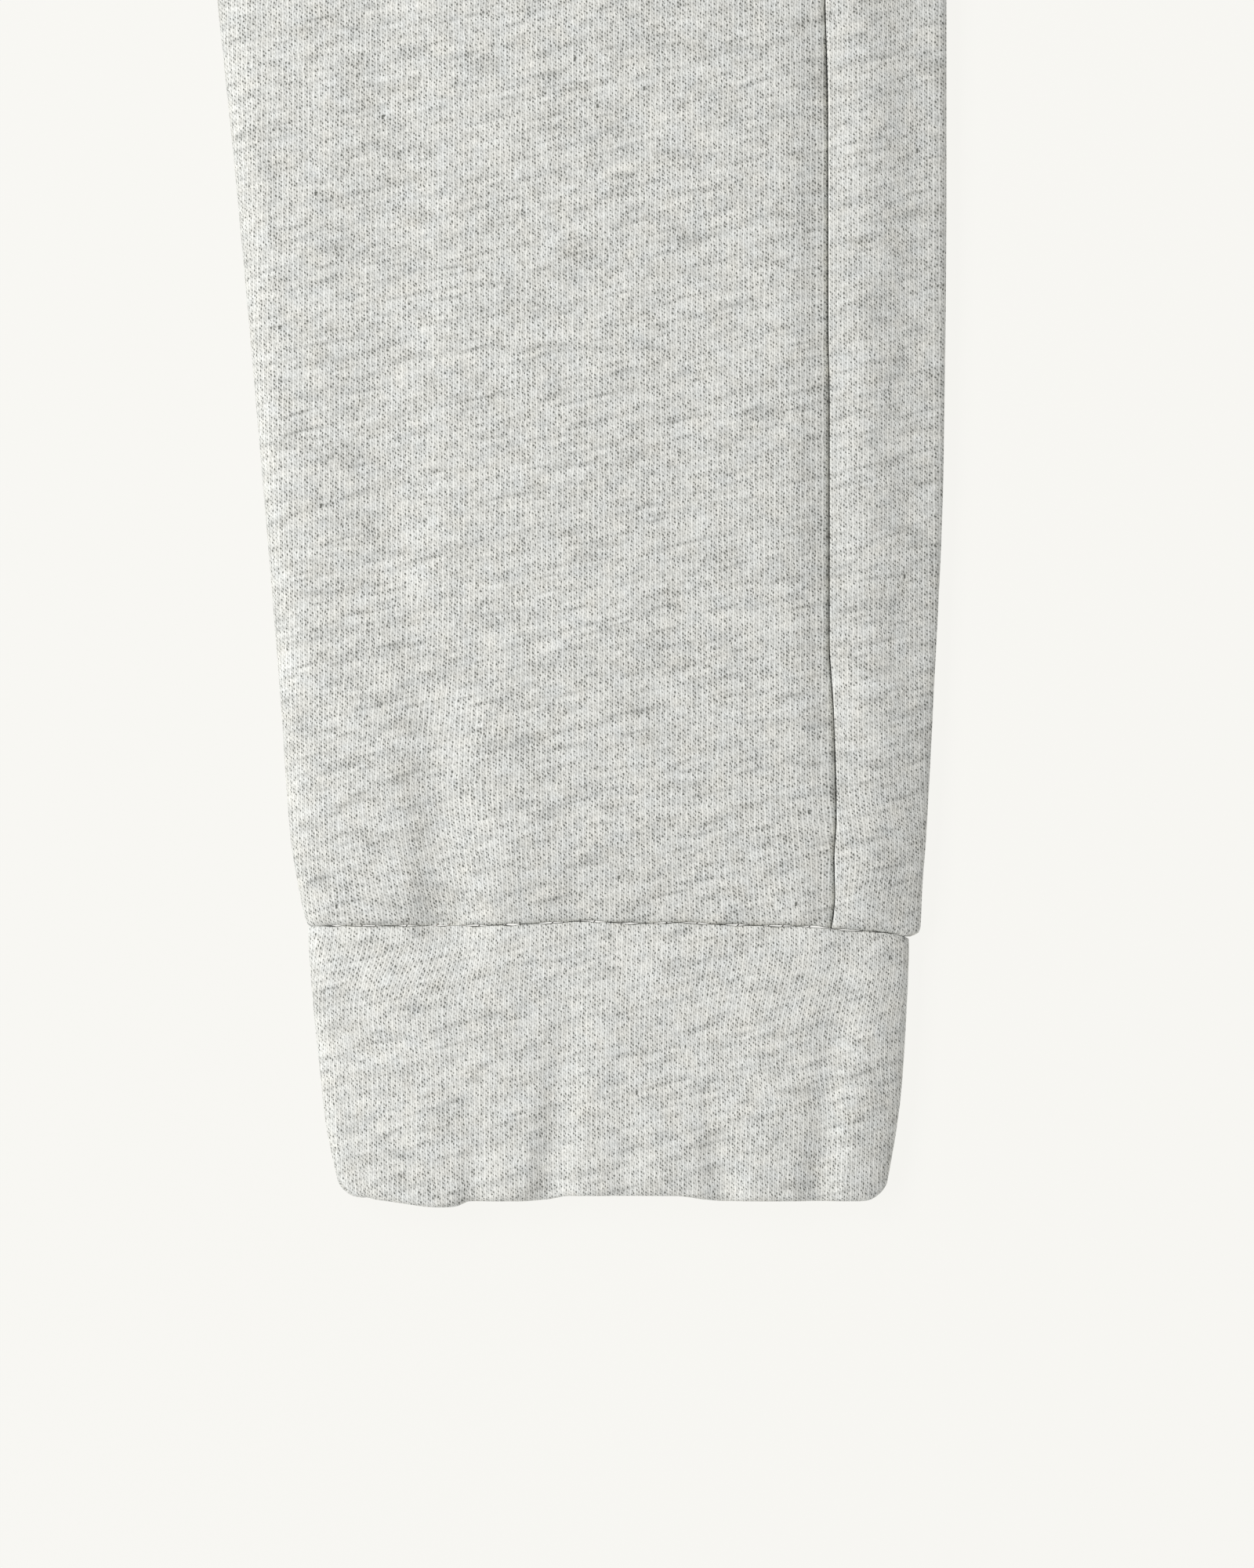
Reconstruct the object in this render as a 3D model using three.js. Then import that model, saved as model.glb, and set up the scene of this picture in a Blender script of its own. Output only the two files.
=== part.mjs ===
// Jogger sweatpants laid flat with the front up: two legs of fleece, each of a front and a back panel,
// with a self-fabric cuff at each hem and an elastic waistband folded from the same cloth.
// Millimetres. +X to the wearer's left, +Y towards the waist, +Z up, z = 0 is the surface the trousers
// lie on, and the origin is under the middle of their outline. Tables give heights as "up", over the hem.
import * as THREE from "three";

// Driving sizes
const LENGTH = 980; // hem to the waistband's top edge
const HEM_DROP = 1.3; // how far the lowest pucker hangs below the hem line
const INSEAM = 700; // hem to crotch
const CUFF_SEAM = 45.5; // hem to the seam that joins cuff and leg
const WAIST_SEAM = LENGTH - 45; // hem to the seam that joins the body and the waistband
const CLOTH = 2.0; // one layer of brushed fleece
const CUFF_WALL = 3.0; // two layers, folded at the hem and pressed together
const BAND_WALL = 3.2; // two layers round the elastic
const SEAM_GAP = 0.3; // between neighbouring pieces
const EDGE_ROUND = 0.9; // how far the hem's and the waistband's folded edges bulge
const HEATHER_GREY = 0xcdcdc8;

// Half of the outline from the cuff seam up: the leg's inner fold, the side seam that lies 20 mm forward
// of the outer fold, the outer fold, and how high the two layers stand.
const LEG = [
  { up: 45.5, inner: 64.8, seam: 151.6, outer: 166.9, loft: 6.6 },
  { up: 51, inner: 63.7, seam: 152.2, outer: 167.0, loft: 7.2 },
  { up: 60, inner: 62.2, seam: 152.4, outer: 167.7, loft: 7.2 },
  { up: 82, inner: 60.6, seam: 152.2, outer: 168.9, loft: 7.0 },
  { up: 121, inner: 57.4, seam: 151.3, outer: 170.6, loft: 6.8 },
  { up: 168, inner: 53.2, seam: 151.1, outer: 171.1, loft: 6.8 },
  { up: 199, inner: 50.0, seam: 150.6, outer: 171.1, loft: 6.8 },
  { up: 260, inner: 43.0, seam: 153.2, outer: 174.0, loft: 6.9 },
  { up: 350, inner: 33.0, seam: 162.4, outer: 184.2, loft: 7.0 },
  { up: 450, inner: 22.6, seam: 178.6, outer: 201.2, loft: 7.1 },
  { up: 550, inner: 13.0, seam: 196.4, outer: 219.8, loft: 7.2 },
  { up: 640, inner: 5.4, seam: 211.2, outer: 235.2, loft: 7.3 },
  { up: 700, inner: 0.15, seam: 218.6, outer: 243.0, loft: 7.4 },
  { up: 740, inner: 0.15, seam: 220.4, outer: 245.0, loft: 7.4 },
  { up: 800, inner: 0.15, seam: 215.5, outer: 240.0, loft: 7.3 },
  { up: 860, inner: 0.15, seam: 201.5, outer: 225.5, loft: 7.2 },
  { up: 905, inner: 0.15, seam: 187.0, outer: 209.0, loft: 7.2 },
  { up: 925, inner: 0.15, seam: 178.5, outer: 199.0, loft: 7.3 },
  { up: 935, inner: 0.15, seam: 172.0, outer: 190.0, loft: 7.2 },
];

// Where front and back part at the inner fold. The seam lies on the underside, tucked in past the fold,
// climbs to the fold's edge at the crotch, and above it each panel flattens into its own centre seam.
const INNER_SEAM = [
  { up: INSEAM - 60, turn: 180, tuck: 6 },
  { up: INSEAM - 35, turn: 180, tuck: 0 },
  { up: INSEAM, turn: 90, tuck: 0 },
  { up: INSEAM + 45, turn: 0, tuck: 0 },
];

// The cuff's two folds, and its thickness laid flat.
const CUFF = [
  { up: 3.9, inner: 69.7, outer: 161.5, loft: 6.6 },
  { up: 11.7, inner: 68.1, outer: 162.8, loft: 6.9 },
  { up: 19.5, inner: 67.2, outer: 163.7, loft: 7.0 },
  { up: 35.1, inner: 65.7, outer: 164.6, loft: 6.9 },
  { up: 45.5, inner: 65.0, outer: 165.0, loft: 6.6 },
];

// Height of the cuff seam across the leg, from the inner fold to the outer one.
const SEAM_LINE = [
  { x: 64.8, up: 45.5 },
  { x: 93, up: 45.5 },
  { x: 102, up: 46.0 },
  { x: 111, up: 46.4 },
  { x: 119.5, up: 46.0 },
  { x: 127, up: 46.3 },
  { x: 149, up: 45.5 },
  { x: 152.5, up: 45.0 },
  { x: 161, up: 44.5 },
  { x: 167, up: 44.3 },
];

// Height of the hem across the cuff, between its rounded corners.
const HEM_LINE = [
  { x: 74, up: 0.3 },
  { x: 79, up: -0.4 },
  { x: 87, up: -HEM_DROP },
  { x: 89.5, up: -1.2 },
  { x: 92, up: -0.3 },
  { x: 104, up: -0.1 },
  { x: 108.5, up: 0.6 },
  { x: 126, up: 0.6 },
  { x: 133.5, up: -0.3 },
  { x: 157, up: -0.3 },
];
const HEM_CORNER = 3.9; // radius of the cuff's lower corners

// Soft troughs in the upper layer: each runs from (x, up) to (toX, toUp), deepest at its first end.
const LEG_TROUGHS = [
  { x: 87.4, up: 45, toX: 83.5, toUp: 98, depth: 1.4, reach: 6.5 },
  { x: 75, up: 60, toX: 70, toUp: 230, depth: 0.4, reach: 9 },
  { x: 112, up: 330, toX: 96, toUp: 420, depth: 0.9, reach: 14 },
  { x: 60, up: 660, toX: 120, toUp: 560, depth: 1.2, reach: 15 },
  { x: 34, up: 690, toX: 80, toUp: 600, depth: 1.3, reach: 12 },
  { x: 26, up: 722, toX: 92, toUp: 742, depth: 1.0, reach: 12 },
  { x: 128, up: 925, toX: 136, toUp: 868, depth: 1.0, reach: 9 },
  { x: 82, up: 926, toX: 84, toUp: 876, depth: 1.0, reach: 9 },
  { x: 36, up: 925, toX: 34, toUp: 872, depth: 0.9, reach: 9 },
];
const CUFF_TROUGHS = [
  { x: 91.2, up: -1, toX: 92.6, toUp: 16, depth: 0.9, reach: 3.6 },
  { x: 102.6, up: -1, toX: 107, toUp: 31, depth: 1.3, reach: 4.6 },
  { x: 115.5, up: -1, toX: 116.5, toUp: 15, depth: 0.4, reach: 4 },
  { x: 134.5, up: -1, toX: 130.6, toUp: 26, depth: 0.8, reach: 4.4 },
  { x: 148.4, up: -1, toX: 152, toUp: 42, depth: 1.3, reach: 4.6 },
];

const INNER_FOLD = 6; // how far the inner fold's round goes in from the edge
const OUTER_FOLD_SHARE = 0.72; // the same on the outer side, as a share of the strip beside the seam
const GROOVE_DEPTH = 1.0; // how far panels dip into a seam
const GROOVE_REACH = 6;
const LEAST_LENGTH = 0.05; // shorter stretches of a section are left out
const LEAST_TURN = 0.1; // degrees, likewise
const LEG_DIP = 0.8; // how far a leg's upper layer dips into its end seams
const CUFF_DIP = 0.7; // how far a cuff's does
const DIP_REACH = 7; // how soon they recover
const SEAM_LINE_FADE = 22; // how soon the leg's rows straighten above the cuff seam

const WAIST_HALF = 175; // the elastic waistband, relaxed
const WAIST_FLARE = 7; // more at its seam than at its top
const WAIST_LOFT = 7.6;
const WAIST_GATHERS = 20; // puckers of the elastic across the upper layer
const WAIST_GATHER_DEPTH = 0.7;
const BAND_FOLD = 6;
const RING_STEP = 2.3; // between columns round a ring's fold

const mix = (a, b, share) => a + (b - a) * share;
const clamp = (value) => Math.min(1, Math.max(0, value));
const ease = (value) => clamp(value) ** 2 * (3 - 2 * clamp(value));

// A table's column at a place on its first column, by cubic pieces that don't overshoot.
function along(table, key, column, at) {
  const last = table.length - 1;
  if (at <= table[0][key]) return table[0][column];
  if (at >= table[last][key]) return table[last][column];
  const i = table.findIndex((row) => row[key] > at) - 1;
  const slope = (n) =>
    (table[n + 1][column] - table[n][column]) / (table[n + 1][key] - table[n][key]);
  const tangent = (n) => {
    if (n === 0) return slope(0);
    if (n === last) return slope(last - 1);
    const [before, after] = [slope(n - 1), slope(n)];
    return before * after <= 0 ? 0 : (2 * before * after) / (before + after);
  };
  const span = table[i + 1][key] - table[i][key];
  const t = (at - table[i][key]) / span;
  return (
    table[i][column] * (1 + 2 * t) * (1 - t) ** 2 +
    tangent(i) * span * t * (1 - t) ** 2 +
    table[i + 1][column] * t * t * (3 - 2 * t) +
    tangent(i + 1) * span * t * t * (t - 1)
  );
}

// How deep the troughs of a table are at a point of the upper layer.
function troughs(table, x, up) {
  let depth = 0;
  for (const fold of table) {
    const [dx, dy] = [fold.toX - fold.x, fold.toUp - fold.up];
    const share = clamp(((x - fold.x) * dx + (up - fold.up) * dy) / (dx * dx + dy * dy));
    const away = Math.hypot(x - mix(fold.x, fold.toX, share), up - mix(fold.up, fold.toUp, share));
    depth += fold.depth * (1 - share) * (1 - ease(away / fold.reach));
  }
  return depth;
}

// Points of a laid section: outer and inner face of the wall, and how much of the relief they take.
// An arc runs round an end fold from one angle to another, and a run goes straight along a layer.
function arc(centre, radius, loft, wall, from, to) {
  const half = loft / 2;
  const steps = 24;
  return Array.from({ length: steps + 1 }, (_, i) => {
    const angle = THREE.MathUtils.degToRad(mix(from, to, i / steps));
    const [c, s] = [Math.cos(angle), Math.sin(angle)];
    return {
      outer: [centre + radius * c, half + half * s],
      inner: [centre + (radius - wall) * c, half + (half - wall) * s],
      relief: Math.max(0, s),
    };
  });
}

function run(fromX, toX, loft, wall, upper) {
  const steps = 60;
  return Array.from({ length: steps + 1 }, (_, i) => {
    const x = mix(fromX, toX, i / steps);
    return {
      outer: [x, upper ? loft : 0],
      inner: [x, upper ? loft - wall : wall],
      relief: upper ? 1 : 0,
    };
  });
}

// Picks points of a path by their distance along its outer face.
function resample(path, distances) {
  const reached = [0];
  for (let i = 1; i < path.length; i++) {
    const [a, b] = [path[i - 1].outer, path[i].outer];
    reached.push(reached[i - 1] + Math.hypot(b[0] - a[0], b[1] - a[1]));
  }
  const total = reached[reached.length - 1];
  const between = (a, b, t) => [mix(a[0], b[0], t), mix(a[1], b[1], t)];
  return distances(total).map((distance) => {
    let i = 1;
    while (i < path.length - 1 && reached[i] < distance) i++;
    const t = clamp((distance - reached[i - 1]) / Math.max(1e-9, reached[i] - reached[i - 1]));
    const [a, b] = [path[i - 1], path[i]];
    return {
      outer: between(a.outer, b.outer, t),
      inner: between(a.inner, b.inner, t),
      relief: mix(a.relief, b.relief, t),
    };
  });
}

// Distances with the given steps from each end of the path and equal ones between.
const spread = (start, middle, end) => (total) => {
  const [from, to] = [start[start.length - 1], total - end[end.length - 1]];
  const between = Array.from({ length: middle }, (_, i) => mix(from, to, (i + 1) / (middle + 1)));
  return [...start, ...between, ...end.map((distance) => total - distance).reverse()];
};

// Length of a quarter of a fold's round, by Ramanujan's formula for an ellipse.
function quarterRound(radius, half) {
  const unlike = ((radius - half) / (radius + half)) ** 2;
  return (Math.PI / 4) * (radius + half) * (1 + (3 * unlike) / (10 + Math.sqrt(4 - 3 * unlike)));
}

// Moves one end of a sampled path back by half a seam gap, along the path or only up and down.
function partSeam(points, end, next, uprightOnly) {
  const [a, b] = [points[end].outer, points[next].outer];
  const length = Math.hypot(b[0] - a[0], b[1] - a[1]);
  const step = SEAM_GAP / 2 / length;
  const [dx, dz] = [uprightOnly ? 0 : (b[0] - a[0]) * step, (b[1] - a[1]) * step];
  for (const face of ["outer", "inner"]) {
    points[end][face] = [points[end][face][0] + dx, points[end][face][1] + dz];
  }
}

function legSection(up) {
  const size = {};
  for (const column of ["inner", "seam", "outer", "loft"]) size[column] = along(LEG, "up", column, up);
  size.turn = along(INNER_SEAM, "up", "turn", up);
  size.tuck = along(INNER_SEAM, "up", "tuck", up);
  size.outerFold = OUTER_FOLD_SHARE * (size.outer - size.seam);
  return size;
}

// The centre of the inner fold's round, for a panel that goes round it by an angle.
const innerCentre = (size, turn) =>
  size.inner + INNER_FOLD * Math.sin(THREE.MathUtils.degToRad(Math.min(90, turn)));

// The front panel's section, from the side seam over the top and round the inner fold.
function frontPath(up) {
  const size = legSection(up);
  const centre = innerCentre(size, size.turn);
  const path = [
    ...run(size.seam, centre, size.loft, CLOTH, true),
    ...arc(centre, INNER_FOLD, size.loft, CLOTH, 90, 90 + size.turn),
  ];
  if (size.tuck > LEAST_LENGTH) path.push(...run(centre, centre + size.tuck, size.loft, CLOTH, false));
  return path;
}

// The back panel's section, from the side seam round the outer fold and along the underside.
function backPath(up) {
  const size = legSection(up);
  const turn = up < INSEAM ? 180 - size.turn : size.turn;
  const centre = innerCentre(size, up < INSEAM ? 90 : turn);
  const middle = size.outer - size.outerFold;
  const path = [
    ...run(size.seam, middle, size.loft, CLOTH, true),
    ...arc(middle, size.outerFold, size.loft, CLOTH, 90, -90),
    ...run(middle, centre + size.tuck, size.loft, CLOTH, false),
  ];
  if (turn > LEAST_TURN) path.push(...arc(centre, INNER_FOLD, size.loft, CLOTH, 270, 270 - turn));
  return path;
}

// Distances along each panel's section, with one column on the very edge of each fold.
function frontSteps(up) {
  const size = legSection(up);
  const beyond = ((size.turn - 90) / 90) * quarterRound(INNER_FOLD, size.loft / 2) + size.tuck;
  const edge = Math.max(INNER_FOLD, beyond);
  const end = [0, edge / 3, (edge * 2) / 3, edge, edge + 1.6, edge + 3.6, edge + 6.2, edge + 10, edge + 16];
  return spread([0, 1.4, 3.2, 6.5], 7, end);
}

function backSteps(up) {
  const size = legSection(up);
  const strip = size.outer - size.outerFold - size.seam;
  const edge = strip + quarterRound(size.outerFold, size.loft / 2);
  const round = [-6.4, -3.2, -1.2, 0, 1.2, 3.2, 6.4, 12].map((step) => edge + step);
  return spread([0, 1.4, 3.2, 6.5, ...round], 5, [0, 2.2, 4.4, 6.6, 9, 13]);
}

// Heights of the leg's rows, close together where the outline or the relief turns quickly.
const LEG_ROWS = [
  CUFF_SEAM, 47.5, 51, 57, 66, 80, 98, 120, 150, 185, 220, 270, 330, 390, 450, 510, 565, 615, 650, 674, 690,
  INSEAM, 712, 730, 760, 800, 840, 872, 898, 917, 929, WAIST_SEAM,
];

// How far the leg's upper layer lies below its loft at a point.
function legRelief(x, up, seam) {
  const sideGroove = GROOVE_DEPTH * (1 - ease(Math.abs(x - seam) / GROOVE_REACH)) ** 2;
  const centreGroove = up > INSEAM ? GROOVE_DEPTH * (1 - ease(x / GROOVE_REACH)) ** 2 : 0;
  const cuffDip = LEG_DIP * (1 - ease((up - CUFF_SEAM) / DIP_REACH));
  const waistDip = LEG_DIP * (1 - ease((WAIST_SEAM - up) / DIP_REACH));
  return troughs(LEG_TROUGHS, x, up) + sideGroove + centreGroove + cuffDip + waistDip;
}

function legPanel(pathAt, stepsAt) {
  return LEG_ROWS.map((up, row) => {
    const points = resample(pathAt(up), stepsAt(up));
    const last = points.length - 1;
    partSeam(points, 0, 1, false);
    if (up < INSEAM) partSeam(points, last, last - 1, false);
    else if (up === INSEAM) partSeam(points, last, last - 1, true);
    const endGap = row === 0 ? SEAM_GAP / 2 : row === LEG_ROWS.length - 1 ? -SEAM_GAP / 2 : 0;
    const seam = along(LEG, "up", "seam", up);
    const fade = 1 - ease((up - CUFF_SEAM) / SEAM_LINE_FADE);
    return points.map(({ outer, inner, relief }) => {
      const y = up + fade * (along(SEAM_LINE, "x", "up", outer[0]) - CUFF_SEAM) + endGap;
      const drop = relief * legRelief(outer[0], up, seam);
      return { outer: [outer[0], y, outer[1] - drop], inner: [inner[0], y, inner[1] - drop] };
    });
  });
}

// A laid ring's section, from the middle of its underside round to the same place.
function ringPath(inner, outer, fold, loft, wall) {
  const middle = (inner + outer) / 2;
  return [
    ...run(middle, inner + fold, loft, wall, false),
    ...arc(inner + fold, fold, loft, wall, 270, 90),
    ...run(inner + fold, outer - fold, loft, wall, true),
    ...arc(outer - fold, fold, loft, wall, 90, -90),
    ...run(outer - fold, middle, loft, wall, false),
  ];
}

// Distances round a ring: few on the underside, close round the folds and along the top. An even
// number of fold steps puts one column on the fold's very edge.
const aroundRing = (underside, foldSteps, top) => (total) => {
  const foldLength = foldSteps * RING_STEP;
  const half = (total - 2 * foldLength) / 4;
  const stretch = (from, length, count) =>
    Array.from({ length: count }, (_, i) => from + (length * i) / count);
  return [
    ...stretch(0, half, underside),
    ...stretch(half, foldLength, foldSteps),
    ...stretch(half + foldLength, 2 * half, top),
    ...stretch(3 * half + foldLength, foldLength, foldSteps),
    ...stretch(3 * half + 2 * foldLength, half, underside),
  ];
};

// The hem's height at a place across the cuff, with its corners rounded up.
function hemLine(x, inner, outer) {
  const edge = Math.min(HEM_CORNER, Math.max(0, Math.min(x - inner, outer - x)));
  const lift = HEM_CORNER - Math.sqrt(HEM_CORNER ** 2 - (HEM_CORNER - edge) ** 2);
  return along(HEM_LINE, "x", "up", x) * (edge / HEM_CORNER) + lift;
}

const CUFF_SHARES = [0, 0.06, 0.18, 0.4, 0.64, 0.84, 0.96, 1];
const CUFF_FOLD = 6.5;
const CUFF_HOLLOW_SHARE = 0.8; // the most of the hollow that a trough takes

function cuffRing() {
  return CUFF_SHARES.map((share, row) => {
    const up = mix(CUFF_SEAM, HEM_CORNER, share);
    const [inner, outer, loft] = ["inner", "outer", "loft"].map((column) => along(CUFF, "up", column, up));
    const points = resample(ringPath(inner, outer, CUFF_FOLD, loft, CUFF_WALL), aroundRing(4, 6, 26));
    const endGap = row === 0 ? SEAM_GAP / 2 : 0;
    return points.map((point) => {
      const top = along(SEAM_LINE, "x", "up", point.outer[0]);
      const y = mix(top, hemLine(point.outer[0], inner, outer) + EDGE_ROUND, share) - endGap;
      const dip = CUFF_DIP * (1 - ease((top - y) / DIP_REACH));
      const most = CUFF_HOLLOW_SHARE * (loft - 2 * CUFF_WALL);
      const drop = point.relief * Math.min(most, troughs(CUFF_TROUGHS, point.outer[0], y) + dip);
      return {
        outer: [point.outer[0], y, point.outer[1] - drop],
        inner: [point.inner[0], y, point.inner[1] - drop],
      };
    });
  });
}

const WAIST_SHARES = [0, 0.12, 0.88, 1];

function waistRing() {
  return WAIST_SHARES.map((share, row) => {
    const half = WAIST_HALF + WAIST_FLARE * (1 - share);
    const y = mix(WAIST_SEAM, LENGTH - EDGE_ROUND, share) + (row === 0 ? SEAM_GAP / 2 : 0);
    const path = ringPath(-half, half, BAND_FOLD, WAIST_LOFT, BAND_WALL);
    const points = resample(path, aroundRing(8, 6, WAIST_GATHERS * 4));
    return points.map((point) => {
      const wave = 0.5 - 0.5 * Math.cos((2 * Math.PI * WAIST_GATHERS * point.outer[0]) / (2 * half));
      const drop = point.relief * WAIST_GATHER_DEPTH * wave;
      return {
        outer: [point.outer[0], y, point.outer[1] - drop],
        inner: [point.inner[0], y, point.inner[1] - drop],
      };
    });
  });
}

// A closed wall from rows of outer and inner points. A ring joins its last column to its first, and
// its folded end gets a row of points half-way through the wall, pushed out along Y.
function wall(rows, { ring = false, mirror = false, roundEnd = 0 } = {}) {
  const side = mirror ? -1 : 1;
  const positions = [];
  const add = ([x, y, z]) => positions.push(side * x, y - (LENGTH - HEM_DROP) / 2, z) / 3 - 1;
  const outer = rows.map((row) => row.map((point) => add(point.outer)));
  const inner = rows.map((row) => row.map((point) => add(point.inner)));
  const faces = [];
  const quad = (a, b, c, d) => faces.push(a, b, c, a, c, d);
  const columns = rows[0].length;
  const last = rows.length - 1;
  const next = (column) => (column + 1) % columns;
  for (let c = 0; c < (ring ? columns : columns - 1); c++) {
    for (let r = 0; r < last; r++) {
      quad(outer[r][c], outer[r][next(c)], outer[r + 1][next(c)], outer[r + 1][c]);
      quad(inner[r][c], inner[r + 1][c], inner[r + 1][next(c)], inner[r][next(c)]);
    }
    quad(outer[0][c], inner[0][c], inner[0][next(c)], outer[0][next(c)]);
    if (!roundEnd) quad(outer[last][c], outer[last][next(c)], inner[last][next(c)], inner[last][c]);
  }
  if (roundEnd) {
    const lip = rows[last].map(({ outer: o, inner: i }) =>
      add([(o[0] + i[0]) / 2, (o[1] + i[1]) / 2 + roundEnd, (o[2] + i[2]) / 2]),
    );
    for (let c = 0; c < columns; c++) {
      quad(outer[last][c], outer[last][next(c)], lip[next(c)], lip[c]);
      quad(lip[c], lip[next(c)], inner[last][next(c)], inner[last][c]);
    }
  }
  if (!ring) {
    for (let r = 0; r < last; r++) {
      quad(outer[r][0], outer[r + 1][0], inner[r + 1][0], inner[r][0]);
      const end = columns - 1;
      quad(outer[r][end], inner[r][end], inner[r + 1][end], outer[r + 1][end]);
    }
  }
  const point = (index) => new THREE.Vector3().fromArray(positions, 3 * index);
  let volume = 0;
  for (let f = 0; f < faces.length; f += 3) {
    volume += point(faces[f]).dot(point(faces[f + 1]).cross(point(faces[f + 2])));
  }
  if (volume < 0) faces.reverse();
  const geometry = new THREE.BufferGeometry();
  geometry.setAttribute("position", new THREE.Float32BufferAttribute(positions, 3));
  geometry.setIndex(faces);
  geometry.computeVertexNormals();
  return geometry;
}

const joggers = new THREE.Group();

function addPiece(name, geometry) {
  const material = new THREE.MeshStandardMaterial({ color: HEATHER_GREY, roughness: 0.95, metalness: 0 });
  const mesh = new THREE.Mesh(geometry, material);
  mesh.name = name;
  joggers.add(mesh);
}

for (const [side, mirror] of [["left", false], ["right", true]]) {
  addPiece(`front_${side}`, wall(legPanel(frontPath, frontSteps), { mirror }));
  addPiece(`back_${side}`, wall(legPanel(backPath, backSteps), { mirror }));
  addPiece(`cuff_${side}`, wall(cuffRing(), { ring: true, mirror, roundEnd: -EDGE_ROUND }));
}
addPiece("waistband", wall(waistRing(), { ring: true, roundEnd: EDGE_ROUND }));

export default joggers;
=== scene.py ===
"""Looks for a pair of heather grey fleece joggers laid flat: finely meshed panels, cuffs and waistband on
their solids' form, with creases, rolled seams, sewing thread and gathers, and a jersey-faced heather
fleece.

The tables below are in millimetres: x from the middle of the trousers to the wearer's left, and up from
the hem towards the waist. Blender's objects are in metres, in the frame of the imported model.
"""

import bpy
import numpy as np
from bpy.props import FloatProperty, FloatVectorProperty, PointerProperty
from bpy.types import Operator, Panel, PropertyGroup
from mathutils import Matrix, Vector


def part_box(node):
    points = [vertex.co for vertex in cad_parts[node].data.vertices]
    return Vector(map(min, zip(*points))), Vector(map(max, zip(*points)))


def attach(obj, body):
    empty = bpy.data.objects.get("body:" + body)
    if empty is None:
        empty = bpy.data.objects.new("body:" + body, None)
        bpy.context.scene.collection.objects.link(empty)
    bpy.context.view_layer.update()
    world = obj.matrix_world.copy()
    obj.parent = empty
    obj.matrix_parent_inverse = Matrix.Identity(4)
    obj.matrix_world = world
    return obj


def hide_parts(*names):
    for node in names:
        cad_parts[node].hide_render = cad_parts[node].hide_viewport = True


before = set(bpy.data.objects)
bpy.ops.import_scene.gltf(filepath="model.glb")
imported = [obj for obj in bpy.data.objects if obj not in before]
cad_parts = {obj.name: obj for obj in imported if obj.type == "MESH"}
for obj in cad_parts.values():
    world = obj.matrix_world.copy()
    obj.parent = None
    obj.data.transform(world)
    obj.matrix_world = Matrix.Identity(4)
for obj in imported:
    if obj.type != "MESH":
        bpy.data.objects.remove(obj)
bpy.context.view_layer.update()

bl_info = {
    "name": "Fleece joggers laid flat",
    "version": (1, 0, 0),
    "blender": (4, 5, 0),
    "location": "View3D > Sidebar > Joggers",
    "description": "Builds the cloth, seams and studio of a pair of fleece joggers",
    "category": "Object",
}

MM = 0.001
SIDES = (("left", 1), ("right", -1))
CLOTH_MAP = "Cloth"  # coordinates that follow the cloth, in metres across and along its knit columns

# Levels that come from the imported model
HEM_DROP = 1.3  # how far the lowest pucker hangs below the hem line
HEM_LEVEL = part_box("cuff_left")[0].y / MM + HEM_DROP
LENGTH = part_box("waistband")[1].y / MM - HEM_LEVEL
CUFF_SEAM = 45.5
WAIST_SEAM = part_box("waistband")[0].y / MM - HEM_LEVEL
WAIST_HALF = 175.0
WAIST_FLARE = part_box("waistband")[1].x / MM - WAIST_HALF
INSEAM = 700.0

# Thickness of the walls
CLOTH = 2.0
CUFF_WALL = 2.4
BAND_WALL = 2.6
BAND_LOFT = 7.6
FOLD_CLEARANCE = 0.1  # kept between the upper and the lower layer

# Folds and corners
INNER_FOLD = 6.0
OUTER_FOLD_SHARE = 0.72  # of the way from the side seam to the outer edge
CUFF_FOLD = 6.5
BAND_FOLD = 6.0
EDGE_ROUND = 1.2  # how far a folded edge bulges past its last row
EDGE_TURNS = np.radians([22, 45, 67, 90, 113, 135, 158])
HEM_CORNER = 3.9
INNER_CORNER, OUTER_CORNER = 3.4, 2.8  # radii of the hem's rounded corners
LEAST_LENGTH = 0.05  # of a stretch of a section that is laid at all
LEAST_TURN = 0.1

# Points of a section's fold and of its flat stretch, before mesh lines are spread along them
FOLD_POINTS, FLAT_POINTS = 49, 81
# Even mesh lines of a front and of a back, between the close ones at its two ends
FRONT_LINES, BACK_LINES = 56, 46
# Mesh lines of the back's forward strip, and how many of them keep the distances from the seam
STRIP_LINES, STRIP_CLOSE = 20, 12
# Mesh lines in half of a ring's underside, in each fold and in its top, and how long a fold counts
CUFF_LINES, BAND_LINES = (24, 26, 96, 18), (60, 20, 380, 16)
# Rows of a ring: how many keep the distances from the seam, where the even ones start and their number
RING_CLOSE, RING_START, CUFF_ROWS, BAND_ROWS = 11, 4.6, 40, 26


def columns(names, rows):
    """A table as one array for each named column. The first column is the one it is looked up by."""
    return dict(zip(names.split(), np.array(rows, float).T))


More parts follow.
